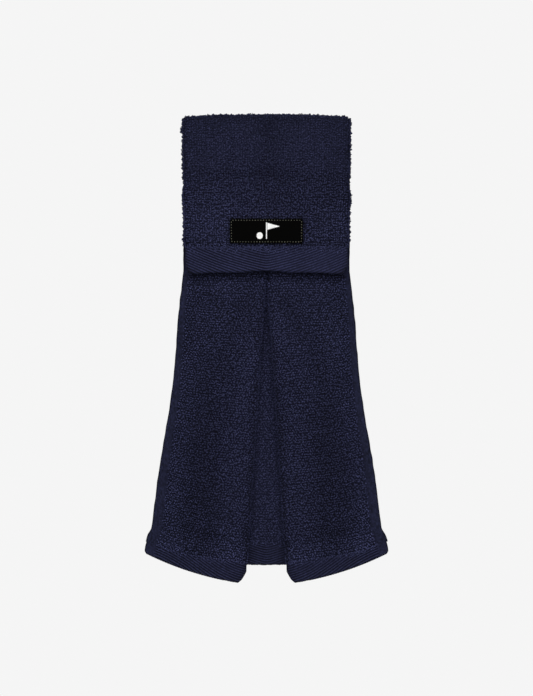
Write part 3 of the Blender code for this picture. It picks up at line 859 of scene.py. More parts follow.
def make_flap_band():
    """Returns the front surface and its normals, for the pile that runs out over it."""
    edge, height = 1.5, 24.0
    low_steps = edge_steps(edge, 5)[::-1]
    rows = np.concatenate([[0.0, 0.004, 0.012, 0.03], np.linspace(0.045, 0.925, 56),
                           1 - low_steps / height])
    share_v = taper(len(rows), edge_share(np.linspace(0, 1, 4), 1.0),
                    edge_share(low_steps, edge))
    position, share_u = across(np.full(len(rows), 2 * BAND_HALF), 118, 1.1)
    rows = rows[:, None]
    x = position - BAND_HALF
    lower = (rows - 0.55) / 0.45
    x = x * (1 + (71.3 / BAND_HALF - 1) * (1 - smooth(lower) * 0.6))
    x = x * (1 - 3.4 / 71.0 * clamp01(lower) ** 2.0 * past(np.abs(x), 50.0, 20.0))
    low = flap_end(x)
    z = BAND_TOP + rows * (low - BAND_TOP)
    rise = z - low
    y = Y_FLAP + 0.25 * np.sin(x / 9.0) * rows - 0.35 * bell(rise, 3.0, 3.0)
    middle = points(x, y, z)
    normal = grid_normals(middle)
    rib = cords(flap_cord_phase(x, z))
    roll = 0.45 * bell(rise, 2.2, 2.2)
    half = (0.95 + roll) * np.outer(share_v, share_u)
    half += 0.55 * rib * np.outer(share_v, share_u ** 2)
    # painted light and shade: the cords lit and the grooves between them shaded, the lower
    # corners and the lower and side edges shaded; a slight ripple across and a lighter right half
    tone = 0.08 + 1.52 * rib + 0.05 * np.sin(x / 6.0) + 0.05 * np.tanh(x / 25.0)
    tone *= 1 - 0.30 * past(np.abs(x), 56.0, 13.0) * past(rows, 0.70, 0.28)
    side_shade = (0.25 + 0.2 * rows) * bell(x[:, -1:], np.abs(x), 1.2 + 1.8 * rows)
    tone *= 1 - 0.35 * bell(rise, 0, 0.9) - side_shade
    geo = Geo()
    front, _ = sheet(geo, middle, normal, half, tone=tone)
    make_piece(geo, "flap_band", m_band, "flap", ["flap_hem_band"])
    return front, normal


# ---- the fold, the flap and the yoke ----------------------------------------------------------
# half width of the flap: heights z, then half widths
FLAP_WIDTHS = (
    (-120, -113.5, -108, -82, -72, -64, -59, -50, -25, -12, -2, 0.6, 2.0),
    (70.0, 70.6, 71.4, 71.6, 72.6, 72.2, 71.1, 71.9, 72.1, 72.7, 72.8, 72.4, 71.6),
)
YOKE_WIDTHS = (
    (-14.0, -6.5, -2.0, 0.6, 2.0),
    (YOKE_HALF - 0.2, YOKE_HALF + 1.4, 72.4, 72.1, 71.3),
)


def crown_grid(z_end, y_leg, first_degrees, widths):
    """Cloth over the fold and straight down one leg.

    Returns x and z grids, a column of y, the row heights and the half thickness.
    """
    sign = -1.0 if y_leg < 0 else 1.0
    angle = np.radians(np.arange(first_degrees, 90.01, 9.0))
    leg_z = np.linspace(AXIS_Z, z_end, int((AXIS_Z - z_end) / 3.0) + 2)[1:]
    leg_y = R_CROWN + (abs(y_leg) - R_CROWN) * below(leg_z, AXIS_Z, 12.0)
    y = sign * np.concatenate([R_CROWN * np.sin(angle), leg_y])
    z = np.concatenate([AXIS_Z + R_CROWN * np.cos(angle), leg_z])
    # closer rows at the lower end, so that it can be rounded
    steps = edge_steps(BASE)[::-1]
    end_z = z[-1] + steps
    keep = z > z[-1] + BASE * 1.3
    y = np.concatenate([y[keep], np.interp(-end_z, -z, y)])
    z = np.concatenate([z[keep], end_z])
    share_v = taper(len(z), (0.0,), edge_share(steps, BASE))
    half_width = np.interp(z, *widths)
    position, share_u = across(2 * half_width, 56, BASE)
    x = position - half_width[:, None]
    # the corners of the fold hang a little lower
    corner = 2.3 * np.abs(x / 74.0) ** 3 * past(z[:, None], -16.0, 14.0)
    return x, y[:, None], z[:, None] - corner, z, np.outer(BASE * share_v, share_u)


def inner_pile(geo, surface, normal, seed, tape_lo, tape_hi):
    """Loops that lean far over on the closure side, none where the tape is sewn."""
    rng = np.random.default_rng(seed)
    spots = scatter(surface, normal, PITCH_REAR, PITCH_REAR, rng)
    place = spots[0]
    keep = ~covered(place, tape_lo, tape_hi, 1.0, 1.0) & (place[:, 2] < -6.0)
    return kept(spots, keep), rng


def make_flap_cloth(band_front, band_normal):
    x, y, z, _, half = crown_grid(-113.7, Y_FLAP, -18.0, FLAP_WIDTHS)
    middle = points(x, y - flap_relief(x, z), z)
    normal = grid_normals(middle)
    geo = Geo()
    # painted shade: the woven ground between the loops is dark as their shade, less dark higher
    # up
    ground = 0.21 + 0.10 * past(z, -70.0, 40.0)
    front, back = sheet(geo, middle, normal, half, tone=ground * flap_shade(x, z))
    first = 2
    window = np.s_[first:, 2:-2]
    rng = np.random.default_rng(11)
    spots = scatter(front[window], normal[window], PITCH * 0.93, PITCH * 0.93, rng,
                    pair=PAIR, stagger=0.0, jitter_v=0.19)
    place = spots[0]
    spots = kept(spots, ~(covered(place, label_lo, label_hi, -0.2, -0.1) & (place[:, 1] < 0)))
    place = spots[0]
    # painted shade: higher up the loops are darker and their feet less dark
    upper = past(place[:, 2], -70.0, 40.0)
    terry(geo, spots, rng, (0.97 - 0.21 * upper) * flap_shade(place[:, 0], place[:, 2]),
          deep=0.22 + 0.10 * upper, **FRONT)
    for sign in (-1, 1):
        edge = middle[first:, 0 if sign < 0 else -1]
        for tilt, seed in ((-0.75, 21), (0.1, 22), (0.8, 23)):
            side_edge_loops(geo, edge, sign, tilt, seed * 3 + sign, flap_shade, shift=-0.1,
                            clump=TUFTS, radius=0.42, swing=2.1)
    for tilt, seed in ((-0.55, 25), (-0.1, 26), (0.4, 27)):
        top_edge_loops(geo, middle[first, 3:-3], tilt, seed, flap_shade, shift=0.15,
                       height=1.35, clump=2.3, radius=0.40, swing=2.0)
    window = np.s_[8:-1, 3:-3]
    spots, rng = inner_pile(geo, back[window], -normal[window], 12, hook_lo, hook_hi)
    terry(geo, spots, rng, 1.0, side=1, **INNER)
    # the pile thins out over the upper part of the border
    window = np.s_[2:24, 3:-3]
    thinning_pile(geo, band_front[window], band_normal[window], np.random.default_rng(13),
                  lambda place: (BAND_TOP - place[:, 2]) / 9.0, flap_shade, loss=1.15)
    make_piece(geo, "flap_cloth", m_terry, FLAP_MOTION, ["flap_ply", "top_fold"])


def make_yoke_cloth():
    """The back of the fold and the ply behind the flap."""
    x, y, z, row_z, half = crown_grid(SEAM_Z, Y_FRONT, -4.0, YOKE_WIDTHS)
    middle = points(x, y - 0.12, z)
    normal = grid_normals(middle)
    geo = Geo()
    front, back = sheet(geo, middle, normal, half, tone=GROUND)
    window = np.s_[1:, 2:-2]
    rng = np.random.default_rng(31)
    spots = scatter(back[window], -normal[window], PITCH_REAR, PITCH_REAR, rng, pair=PAIR)
    terry(geo, spots, rng, 1.0, side=1, **REAR)
    for sign in (-1, 1):
        edge = middle[1:][row_z[1:] > -12.0][:, 0 if sign < 0 else -1]
        for tilt, seed in ((-0.5, 41), (0.6, 42)):
            side_edge_loops(geo, edge, sign, tilt, seed + sign, flap_shade, shift=0.1,
                            side=1, clump=TUFTS, radius=0.42)
    window = np.s_[8:, 3:-3]
    spots, rng = inner_pile(geo, front[window], normal[window], 32, loop_lo, loop_hi)
    terry(geo, spots, rng, 1.0, **INNER)
    make_piece(geo, "yoke_cloth", m_terry_in, YOKE_MOTION, ["yoke_ply"])


# ---- smooth folded hems down the sides --------------------------------------------------------
def hem_strip(name, node, motion, z_from, z_to, edges, mirror, seed, relief, slant=0.0):
    """Flat cloth with a soft ridge at its fold and puckers at the stitches.

    edges gives the inner and outer x at heights z, slant is the slope of the lower end.
    """
    rows = np.linspace(z_from, z_to, max(int((z_from - z_to) / 1.6), 8))
    rows, share_v = rounded_rows(rows, 0.9)
    inner, outer = edges(rows)
    wobble = 0.25 * slow_noise(rows, seed, 7.0)
    position, share_u = across(outer + wobble - inner, 10, 0.9)
    inner, outer = inner[:, None], outer[:, None]
    x = inner + position
    z = rows[:, None]
    z = z + slant * (x - inner) * below(z, z_to + 24.0, 20.0)
    part = (x - inner) / (outer - inner)
    phase = 2 * PI * z / 3.1 + 2.0 * slow_noise(rows, seed + 5, 9.0)[:, None]
    pucker = 0.16 * np.sin(phase) * bell(part, 0.16, 0.22)
    ridge = 0.22 * bell(part, 0.88, 0.13) - 0.18 * bell(part, 0.14, 0.10)
    middle = points(x, Y_FRONT - relief(x, z), z)
    half = (1.12 + pucker + ridge) * np.outer(share_v, share_u)
    # painted light and shade: the ridge and the puckers lighter where they rise, the outer edge
    # shaded; nap is the cloth's random grain
    rim = 1 - 0.62 * bell(outer, x, 1.1)
    nap = 0.16 * np.random.default_rng(seed + 9).normal(0, 1, x.shape)
    tone = (0.92 + 0.5 * ridge + 0.5 * pucker + nap) * rim
    geo = Geo()
    sheet(geo, middle, grid_normals(middle), half, tone=tone, mirror=mirror)
    make_piece(geo, name, m_hem, motion, [node])


def make_yoke_hem(side, mirror):
    hem_strip(side + "_yoke_hem_strip", side + "_yoke_side_hem", YOKE_MOTION,
              -7.0, SEAM_Z - 0.2,
              lambda z: (np.full(z.shape, YOKE_HALF - 1.2), np.full(z.shape, SIDE_X)),
              mirror, 51 if mirror else 52, lambda x, z: 0.0)


def make_panel_hem(side, mirror):
    hem_strip(side + "_hem_strip", side + "_side_hem", panel_motion(side),
              SEAM_Z, SIDE_HEM_END,
              lambda z: (outer_x(z) - side_hem_width(z) - 1.3, outer_x(z)),
              mirror, 71 if mirror else 72, panel_relief, slant=HEM_SLOPE)


# ---- the front panels, each one sheet: return ply, rounded fold, front ply --------------------
def panel_column(kind, part, z):
    """x and y of one column; part is a share of the ply's width, or the angle in the fold."""
    inner = inner_edge(z) + 1.05
    fold = inner + R_FOLD
    if kind == "front":
        outer = outer_x(z) - side_hem_width(z) - 0.1
        x = fold + part * (outer - fold)
        return x, Y_FRONT - panel_relief(x, z)
    if kind == "return":
        x = fold + part * (PLEAT_HALF - 0.4 - fold)
        return x, Y_RETURN + 0 * x
    x = inner + R_FOLD * (1 - math.cos(part))
    turn = math.sin(part)
    relief = panel_relief(fold, z) * (0.5 + 0.5 * turn)
    return x, (Y_RETURN + Y_FRONT) / 2 - R_FOLD * turn - relief


def panel_grid():
    """Middle points, half thickness, and the first columns of the fold and of the front ply."""
    rows = np.linspace(0, 1, 93)
    inside = rows[(rows > 0.004) & (rows < 0.996)]
    ends = np.array((0.0, 0.0004, 0.0013))
    rows = np.concatenate([ends, inside, 1 - ends[::-1]])
    share_v = taper(len(rows), (0.0, 0.5, 0.9), (0.9, 0.5, 0.0))
    kinds = {
        "return": np.concatenate([1 - np.array((0, 0.006, 0.02, 0.045)),
                                  np.linspace(0.92, 0.0, 10)]),
        "fold": np.radians(np.linspace(-90, 90, 7))[1:-1],
        "front": np.concatenate([np.linspace(0.0, 0.985, 26), [0.99, 0.995, 1.0]]),
    }
    columns = []
    for kind, parts in kinds.items():
        bottom = return_bottom if kind == "return" else front_bottom
        for part in parts:
            z = np.full(len(rows), -300.0)
            # x depends on z and the lower end on x, so both are found by repetition
            for _ in range(6):
                x, y = panel_column(kind, part, z)
                z = SEAM_Z + rows * (bottom(x[-1]) - SEAM_Z)
            columns.append(points(x, y, z))
    share_u = taper(len(columns), (0.0, 0.55, 0.85, 1.0), (0.9, 0.6, 0.0))
    first_fold = len(kinds["return"])
    first_front = first_fold + len(kinds["fold"])
    half = np.outer(BASE * share_v, share_u)
    return np.stack(columns, 1), half, first_fold, first_front


# slope of the cords over the panels' border: x, and angle in degrees
CORD_X = (0.0, 20.0, 34.0, 48.0, 62.0, 78.0, 94.0, 112.0)
CORD_SLOPE = np.tan(np.radians((8.0, 12.0, 24.0, 34.0, 36.0, 30.0, 22.0, 20.0)))
CORD_STEP = 0.5
cord_line_x = np.linspace(0.0, 112.0, 225)
cord_slopes = np.interp(cord_line_x[:-1] + CORD_STEP / 2, CORD_X, CORD_SLOPE)
cord_line_z = np.concatenate([[0], np.cumsum(cord_slopes * CORD_STEP)])
cord_line_z += -398.0 - np.interp(50.0, cord_line_x, cord_line_z)


def hem_cord_phase(x, z):
    """The cords run across the border aslant, more steeply than its edge."""
    slope = np.interp(x, CORD_X, CORD_SLOPE)
    rise = z - np.interp(x, cord_line_x, cord_line_z)
    return rise / np.sqrt(1 + slope ** 2) / (RIB * 0.965)


def border_grid():
    """The panels' sloping border: middle points, normals, half thickness and tone."""
    # the inner outline runs down the fold, past the chamfer, to the hem's inner corner
    inner_z = np.linspace(-360.0, FOLD_END[1], 30)
    outline_x = np.concatenate([fold_x(inner_z),
                                np.linspace(FOLD_END[0], HEM_CHAMFER[0], 8)[1:],
                                np.linspace(HEM_CHAMFER[0], HEM_INNER[0], 10)[1:]])
    outline_z = np.concatenate([inner_z,
                                np.linspace(FOLD_END[1], HEM_CHAMFER[1], 8)[1:],
                                np.linspace(HEM_CHAMFER[1], HEM_INNER[1], 10)[1:]])
    inner_lift = lift_of(outline_x, outline_z)
    outer_z = np.linspace(-345.0, HEM_OUTER[1] - 0.5, 60)
    outer_line = outer_x(outer_z)
    outer_lift = lift_of(outer_line, outer_z)
    edge = 1.4
    low_steps = edge_steps(edge, 5)[::-1]
    rows = np.concatenate([BORDER_TOP - np.array((0, 0.15, 0.5)),
                           np.linspace(BORDER_TOP - 0.9, 1.7, 44), low_steps])
    share_v = taper(len(rows), (0.0, 0.6, 0.9), edge_share(low_steps, edge))
    inner = np.interp(rows, inner_lift[::-1], outline_x[::-1])
    outer = np.interp(rows, outer_lift[::-1], outer_line[::-1])
    outer = outer - 1.6 * clamp01(1 - rows / 2.4) ** 2
    position, share_u = across(outer - inner, 84, 1.2)
    inner = inner[:, None]
    x = inner + position
    # rows are spread upwards on the inner side
    lift = rows[:, None]
    lift = lift + (terry_lift(x) - TERRY_LIFT) * past(lift, 2.5, BORDER_TOP - 2.5)
    scallop = 0.22 * slow_noise(x, 17, 1.5) + 0.10 * np.sin(x * 2 * PI / 2.3)
    scallop *= bell(lift, 0, 1.5) * past(x, 27.0, 3.0) * below(x, 104.0, 3.0)
    z = band_line(x, lift) + scallop
    from_outer = outer[:, None] - x
    ribbed = past(from_outer, 8.0, 1.5)        # the smooth side hem runs on over the border
    y = Y_FRONT - panel_relief(x, z) * 0.8 - 0.3 * bell(lift, 3.0, 3.0)
    middle = points(x, y, z)
    rib = cords(hem_cord_phase(x, z) + 0.06 * slow_noise(x, 5, 12.0)) * ribbed
    roll = 0.35 * bell(lift, 2.0, 2.0) + 0.30 * (1 - ribbed)
    half = (1.00 + roll + 0.55 * rib) * np.outer(share_v, share_u)
    nap = 0.12 * np.random.default_rng(76).normal(0, 1, x.shape)
    # painted light and shade: the cords lit and the grooves between them shaded; the smooth part
    # where the side hem runs on is lighter, and nap is the cloth's random grain
    tone = 0.09 + 1.20 * rib + 0.62 * (1 - ribbed) + nap
    # painted shade along the lower, outer and inner edges
    tone *= (1 - 0.55 * bell(lift, 0, 1.1) - 0.50 * bell(from_outer, 0, 1.1)
             - 0.45 * bell(x, inner, 3.6))
    return middle, grid_normals(middle), half, np.maximum(tone, 0.03)


def make_panel_cloth(side, mirror, panel, border):
    # painted light: the lower outer corner a little lighter, on the right panel most
    corner_gain = 0.02 if mirror else 0.11

    def lit(x, z):
        return panel_shade(x, z) * (1 + corner_gain * bump(x, z, 84, -374, 18, 14))

    def border_drop(place):
        x, z = place[:, 0], place[:, 2]
        return clamp01((terry_lift(x) + 1.2 - lift_of(x, z)) / 6.0)

    middle, half, first_fold, first_front = panel
    normal = grid_normals(middle)
    geo = Geo()
    front, back = sheet(geo, middle, normal, half, mirror=mirror,
                        tone=GROUND * lit(middle[..., 0], middle[..., 2]))
    rng = np.random.default_rng(61 if mirror else 62)
    # front ply and the rounded fold
    window = np.s_[:, first_fold:-1]
    spots = scatter(front[window], normal[window], PITCH, PITCH * 0.97, rng, pair=PAIR)
    terry(geo, spots, rng, lit, mirror=mirror, **FRONT)
    # the pile thins out over the upper part of the border
    border_middle, border_normal, border_half, _ = border
    border_front = border_middle + border_normal * border_half[..., None]
    window = np.s_[2:22, 4:-12]
    thinning_pile(geo, border_front[window], border_normal[window], rng, border_drop, lit,
                  mirror=mirror)
    # outside of the return ply
    window = np.s_[:, 2:first_fold]
    pitch = PITCH_REAR + 0.3
    spots = scatter(front[window], normal[window], pitch, pitch, rng)
    terry(geo, spots, rng, 0.85, mirror=mirror, side=1, **RETURN)
    # back of the front ply, outside the pleat
    window = np.s_[:, first_front + 1:-1]
    spots = scatter(back[window], -normal[window], PITCH_REAR, PITCH_REAR, rng, pair=PAIR)
    spots = kept(spots, spots[0][:, 0] > PLEAT_HALF - 1.5)
    terry(geo, spots, rng, 1.0, mirror=mirror, side=1, **REAR)
    make_piece(geo, side + "_panel_cloth", m_terry, panel_motion(side),
               [side + "_panel_ply", side + "_pleat_return"])


def make_hem_border(side, mirror, border):
    middle, normal, half, tone = border
    geo = Geo()
    sheet(geo, middle, normal, half, tone=tone, mirror=mirror)
    make_piece(geo, side + "_hem_border", m_band, side + "_panel", [side + "_hem_band"])


def make_return_border(side, mirror):
    """The return ply's own border, hidden behind the panel."""
    rows = np.concatenate([[0, 0.01, 0.03], np.linspace(0.06, 0.94, 24), [0.97, 0.99, 1.0]])
    share_v = taper(len(rows), (0.0, 0.6, 0.9), (0.9, 0.6, 0.0))
    inner = np.interp(rows, (0, 0.2, 1.0), (fold_x(-391.0) + 0.6, 18.0, 18.6))
    position, share_u = across(PLEAT_HALF - inner, 14, 1.0)
    x = (inner[:, None] + position)[:, ::-1]
    top = return_bottom(x) + 0.5
    bottom = return_band_lo[2] + 2.0 * (x - 18.1) / 17.9
    z = top + rows[:, None] * (bottom - top)
    middle = points(x, Y_RETURN - 0.15, z)
    rib = cords((z - bottom) / RIB)
    half = (0.72 + 0.42 * rib) * np.outer(share_v, share_u)
    geo = Geo()
    # painted light and shade: the cords lit and the grooves between them shaded
    sheet(geo, middle, grid_normals(middle), half, tone=0.10 + 1.1 * rib, mirror=mirror)
    make_piece(geo, side + "_return_border", m_band, side + "_panel",
               [side + "_return_hem_band"])


# ---- the cloth behind the pleat ---------------------------------------------------------------
BACKING_TOP = UNDER_SPLIT + 0.7


def backing_bulge(x):
    return 0.35 * np.cos(x / PLEAT_HALF * PI * 0.5)


def make_backing_border():
    """Returns the front surface and its normals, for the pile that runs out over it."""
    edge, height, slope = 1.2, 19.5, 0.34
    low_steps = edge_steps(edge, 4)[::-1]
    rows = np.concatenate([[0, 0.01, 0.03], np.linspace(0.05, 0.92, 42),
                           1 - low_steps / height])
    share_v = taper(len(rows), (0.0, 0.6, 0.9), edge_share(low_steps, edge))
    position, share_u = across(np.full(len(rows), 2 * PLEAT_HALF), 60, 1.0)
    x = position - PLEAT_HALF
    low = under_band_lo[2] + 0.12 * np.sin(x * 2 * PI / 2.4) + 0.25 * slow_noise(x, 18, 1.6)
    low += 0.8 * (np.abs(x) / PLEAT_HALF) ** 2
    z = BACKING_TOP + rows[:, None] * (low - BACKING_TOP)
    middle = points(x, Y_UNDER - backing_bulge(x), z)
    normal = grid_normals(middle)
    rib = cords((z - slope * soft_abs(x, 3.0)) / np.sqrt(1 + slope ** 2) / (RIB * 0.93))
    half = (0.9 + 0.52 * rib + 0.25 * bell(z - low, 2.0, 2.0)) * np.outer(share_v, share_u)
    nap = 0.10 * np.random.default_rng(77).normal(0, 1, x.shape)
    # painted light and shade: the cords lit and the grooves shaded, the sides and the lower edge
    # shaded; nap is the cloth's random grain
    tone = (0.08 + 1.08 * rib + nap) * (1.0 - 0.22 * past(np.abs(x), 8.0, 8.0))
    tone *= 1 - 0.55 * bell(z, low, 1.1)
    geo = Geo()
    front, _ = sheet(geo, middle, normal, half, tone=tone)
    make_piece(geo, "pleat_backing_border", m_band, "body", ["underlay_hem_band"])
    return front, normal


def make_backing_cloth(border_front, border_normal):
    rows, share_v = rounded_rows(np.linspace(UNDER_TOP, UNDER_SPLIT, 100), BASE)
    position, share_u = across(np.full(len(rows), 2 * PLEAT_HALF), 26, BASE)
    x = position - PLEAT_HALF
    z = rows[:, None]
    z = z + 0.6 * slow_noise(x, 8, 6.0) * past(z, UNDER_TOP - 8, 8)
    # the head of the pleat lies down on the yoke
    settle = 3.1 * past(z, UNDER_TOP - 12.0, 12.0)
    middle = points(x, Y_UNDER - settle - backing_bulge(x) * below(z, -180, 60.0), z)
    normal = grid_normals(middle)
    geo = Geo()
    # painted shade: the woven ground between the loops is darkened to 0.30 as their shade
    front, back = sheet(geo, middle, normal, np.outer(BASE * share_v, share_u), tone=0.30)
    # the front carries loops only where the open pleat shows it
    rng = np.random.default_rng(81)
    spots = scatter(front[:, 2:-2], normal[:, 2:-2], PITCH, PITCH * 0.97, rng, pair=PAIR)
    x, z = spots[0][:, 0], spots[0][:, 2]
    spots = kept(spots, (np.abs(x) < np.maximum(fold_x(z) * 1.1 + 5.0, 3.0)) & (z < -138.0))
    terry(geo, spots, rng, lambda x, z: 0.93 * under_shade(x, z), deep=0.27, contrast=0.16,
          **FRONT)
    window = np.s_[2:14, 3:-3]
    thinning_pile(geo, border_front[window], border_normal[window], rng,
                  lambda place: clamp01((BACKING_TOP - place[:, 2]) / 5.0), under_shade,
                  height=0.8, height_loss=0.25, half_width=24.0)
    spots = scatter(back[:, 1:-1], -normal[:, 1:-1], PITCH_REAR, PITCH_REAR, rng, pair=PAIR)
    terry(geo, spots, rng, 1.0, side=1, **REAR)
    for sign in (-1, 1):
        side_edge_loops(geo, middle[1:-1, 0 if sign < 0 else -1], sign, 0.35, 85 + sign,
                        even_shade, side=1, pitch=2.2, height=1.2, **UNDER_EDGE)
    top_edge_loops(geo, middle[1, 1:-1], 0.5, 88, even_shade, side=1, pitch=2.1, height=1.3,
                   **UNDER_EDGE)
    make_piece(geo, "pleat_backing_cloth", m_terry_in, "body",
               ["pleat_underlay", "left_tucked_return", "right_tucked_return"])


# ---- the label, its lockstitch and the embroidered pin flag -----------------------------------
def make_label():
    corner, edge = 2.4, 0.35
    steps = edge_steps(edge)
    height = 2 * LABEL_HALF_H
    rows = np.concatenate([steps, np.linspace(0.6, height - 0.6, 54), height - steps[::-1]])
    rise = LABEL_HALF_H - rows
    over = np.maximum(np.abs(rise) - (LABEL_HALF_H - corner), 0.0)
    rounding = np.sqrt(np.maximum(corner ** 2 - over ** 2, 0.01))
    half_width = LABEL_HALF_W - corner + rounding
    position, share_u = across(2 * half_width, 110, edge)
    x = position - half_width[:, None]
    z = LABEL_Z + rise[:, None]
    share = edge_share(steps, edge)
    thickness = np.outer(taper(len(rows), share, share[::-1]), share_u)
    # the cloth is drawn in along the stitching and padded in the middle
    to_stitch = np.minimum(LABEL_HALF_W - LABEL_INSET - np.abs(x),
                           LABEL_HALF_H - LABEL_INSET - np.abs(z - LABEL_Z))
    groove = bell(to_stitch, 0, 0.55)
    puff = 0.14 * (1 - np.abs(x / LABEL_HALF_W) ** 3)
    puff = puff * (1 - np.abs((z - LABEL_Z) / LABEL_HALF_H) ** 3)
    middle = points(x, LABEL_Y, z)
    geo = Geo()
    # painted shade: the tone darkens in the groove along the stitching
    sheet(geo, middle, grid_normals(middle), (0.34 + puff - 0.12 * groove) * thickness,
          0.36 * thickness, tone=1.0 - 0.25 * groove)
    make_piece(geo, "woven_label", m_label, "flap", ["label_patch"])


def round_rect(half_w, half_h, radius, centre_z, y):
    path = []
    for k, (sign_x, sign_z) in enumerate(((1, -1), (1, 1), (-1, 1), (-1, -1))):
        for i in range(8):
            angle = math.radians(-90 + 90 * k + 90 * i / 7)
            path.append((sign_x * (half_w - radius) + radius * math.cos(angle), y,
                         centre_z + sign_z * (half_h - radius) + radius * math.sin(angle)))
    path.append(path[0])
    return np.array(path)


def satin(name, node, start_x, start_z, end_x, end_z):
    """Satin stitch: threads side by side, each from start to end over a small padding."""
    start = points(start_x, 0.0, start_z)
    end = points(end_x, 0.0, end_z)
    n = len(start)
    t = np.linspace(0, 1, 9)
    centres = start[:, None] + (end - start)[:, None] * t[None, :, None]
    centres[..., 1] = LABEL_FACE - 0.06 - 0.30 * np.sin(PI * t)[None] ** 0.6
    tone = np.clip(np.random.default_rng(n).normal(0.97, 0.04, n), 0.8, 1.05)
    geo = Geo()
    tubes(geo, centres, np.full((n, len(t)), 0.21), np.tile(FORWARD, (n, 1)), 6, tone)
    make_piece(geo, name, m_white, "flap", [node])


def make_embroidery():
    pitch = 0.36
    lo, hi = mm_box("emblem_pin")
    z = np.arange(lo[2] + 0.2, hi[2] - 0.05, pitch)
    satin("pin_embroidery", "emblem_pin", lo[0] - 0.02, z, hi[0] + 0.02, z + 0.12)
    lo, hi = mm_box("emblem_pennant")
    centre_z = (lo[2] + hi[2]) / 2
    x = np.arange(lo[0] + 0.15, hi[0] - 0.5, pitch)
    tall = (hi[2] - lo[2]) / 2 * (1 - (x - lo[0]) / (hi[0] - lo[0]))
    satin("pennant_embroidery", "emblem_pennant", x, centre_z - tall, x + 0.1, centre_z + tall)
    lo, hi = mm_box("emblem_ball")
    centre_x, centre_z, radius = (lo[0] + hi[0]) / 2, (lo[2] + hi[2]) / 2, (hi[0] - lo[0]) / 2
    z = np.arange(lo[2] + 0.2, hi[2] - 0.1, pitch)
    wide = np.sqrt(np.maximum(radius ** 2 - (z - centre_z) ** 2, 0.05)) + 0.25
    satin("ball_embroidery", "emblem_ball", centre_x - wide, z, centre_x + wide, z + 0.05)


# ---- threads ----------------------------------------------------------------------------------
def thread_piece(name, node, motion, path, rng, normal=FORWARD, pitch=2.6, length=1.9,
                 radius=0.22, mirror=False, material=m_thread):
    geo = Geo()
    dashes(geo, path, normal, pitch, length, radius, rng, mirror)
    make_piece(geo, name, material, motion, [node])


def make_label_stitching():
    path = round_rect(LABEL_HALF_W - LABEL_INSET, LABEL_HALF_H - LABEL_INSET, 1.4, LABEL_Z,
                      LABEL_FACE)
    thread_piece("label_lockstitch", "label_stitching", "flap", path,
                 np.random.default_rng(91), pitch=2.45, length=0.62, radius=0.24,
                 material=m_olive)


def make_hem_threads():
    rng = np.random.default_rng(95)
    thread_piece("flap_border_thread", "flap_band_stitching", "flap",
                 points(np.linspace(-66, 66, 60), Y_FLAP - 1.42, -115.4), rng)
    thread_piece("backing_border_thread", "underlay_hem_stitching", "body",
                 points(np.linspace(-34, 34, 40), Y_UNDER + 1.05, under_band_hi[2] - 1.6),
                 rng, normal=BACKWARD)
    zigzag = 1.3 * np.where(np.arange(21) % 2, 1, -1)
    thread_piece("pleat_head_tack", "pleat_tack_stitching", "body",
                 points(np.linspace(-9, 9, 21), Y_FRONT - 2.2, -115.4 + zigzag), rng,
                 pitch=2.0, radius=0.26)
    for side, mirror in SIDES:
        lift = 5.0
        x = np.linspace(27.0, 97.0, 60)
        z = band_line(x, lift)
        y = Y_FRONT - panel_relief(x, z) * 0.8 - 0.3 * bell(lift, 3.0, 3.0) - 1.42
        thread_piece(side + "_border_thread", side + "_hem_stitching", side + "_panel",
                     points(x, y, z), rng, mirror=mirror)
        z = np.linspace(SEAM_Z - 2.0, -360.0, 120)
        x = outer_x(z) - side_hem_width(z) * 0.86
        thread_piece(side + "_side_thread", side + "_side_stitching", panel_motion(side),
                     points(x, Y_FRONT - panel_relief(x, z) - 0.98, z), rng, mirror=mirror)


# ---- the closure: moulded hooks on the flap, brushed loops on the yoke ------------------------
HOOK_RADII = (0.2, 0.2, 0.17, 0.15, 0.14, 0.12, 0.10)      # from foot to tip


def make_hooks():
    hook_x, hook_z = [a.ravel() for a in np.meshgrid(
        np.arange(hook_lo[0] + 1.0, hook_hi[0] - 0.9, 1.45),
        np.arange(hook_lo[2] + 1.0, hook_hi[2] - 0.9, 1.30))]
    n = len(hook_x)
    t = np.linspace(0, 1, len(HOOK_RADII))
    lean = np.where(np.arange(n) % 2, 1.0, -1.0)[:, None]
    x = hook_x[:, None] + lean * (0.05 + 0.42 * np.sin(PI * clamp01(t - 0.35) / 1.3)[None])
    y = hook_hi[1] - 0.15 + np.interp(t, (0, 0.6, 0.8, 1.0), (0, 0.95, 1.02, 0.72))
    geo = Geo()
    tubes(geo, points(x, y, hook_z[:, None]), np.tile(HOOK_RADII, (n, 1)),
          np.tile((0.0, 0.0, 1.0), (n, 1)))
    make_piece(geo, "closure_hooks", m_hook, "flap", [])


def make_loop_pile():
    n = 1500
    rng = np.random.default_rng(99)
    x = rng.uniform(loop_lo[0] + 0.9, loop_hi[0] - 0.9, n)
    z = rng.uniform(loop_lo[2] + 0.9, loop_hi[2] - 0.9, n)
    directions = [np.tile(a, (n, 1)) for a in (FORWARD, (1.0, 0.0, 0.0), (0.0, 0.0, 1.0))]
    geo = Geo()
    terry(geo, (points(x, loop_lo[1] + 0.05, z), *directions), rng, 1.0, width=1.6,
          height=0.8, radius=0.13, seg=5, lean=(0.3, 1.2), down=0.5, spread=1.6, root=0.1)
    make_piece(geo, "closure_loop_pile", m_loop, "body", [])
    path = round_rect((loop_hi[0] - loop_lo[0]) / 2 - 2.0, (loop_hi[2] - loop_lo[2]) / 2 - 1.5,
                      1.0, (loop_lo[2] + loop_hi[2]) / 2, loop_lo[1] - 0.28)
    thread_piece("closure_thread", "loop_tape_stitching", "body", path, rng, radius=0.2)


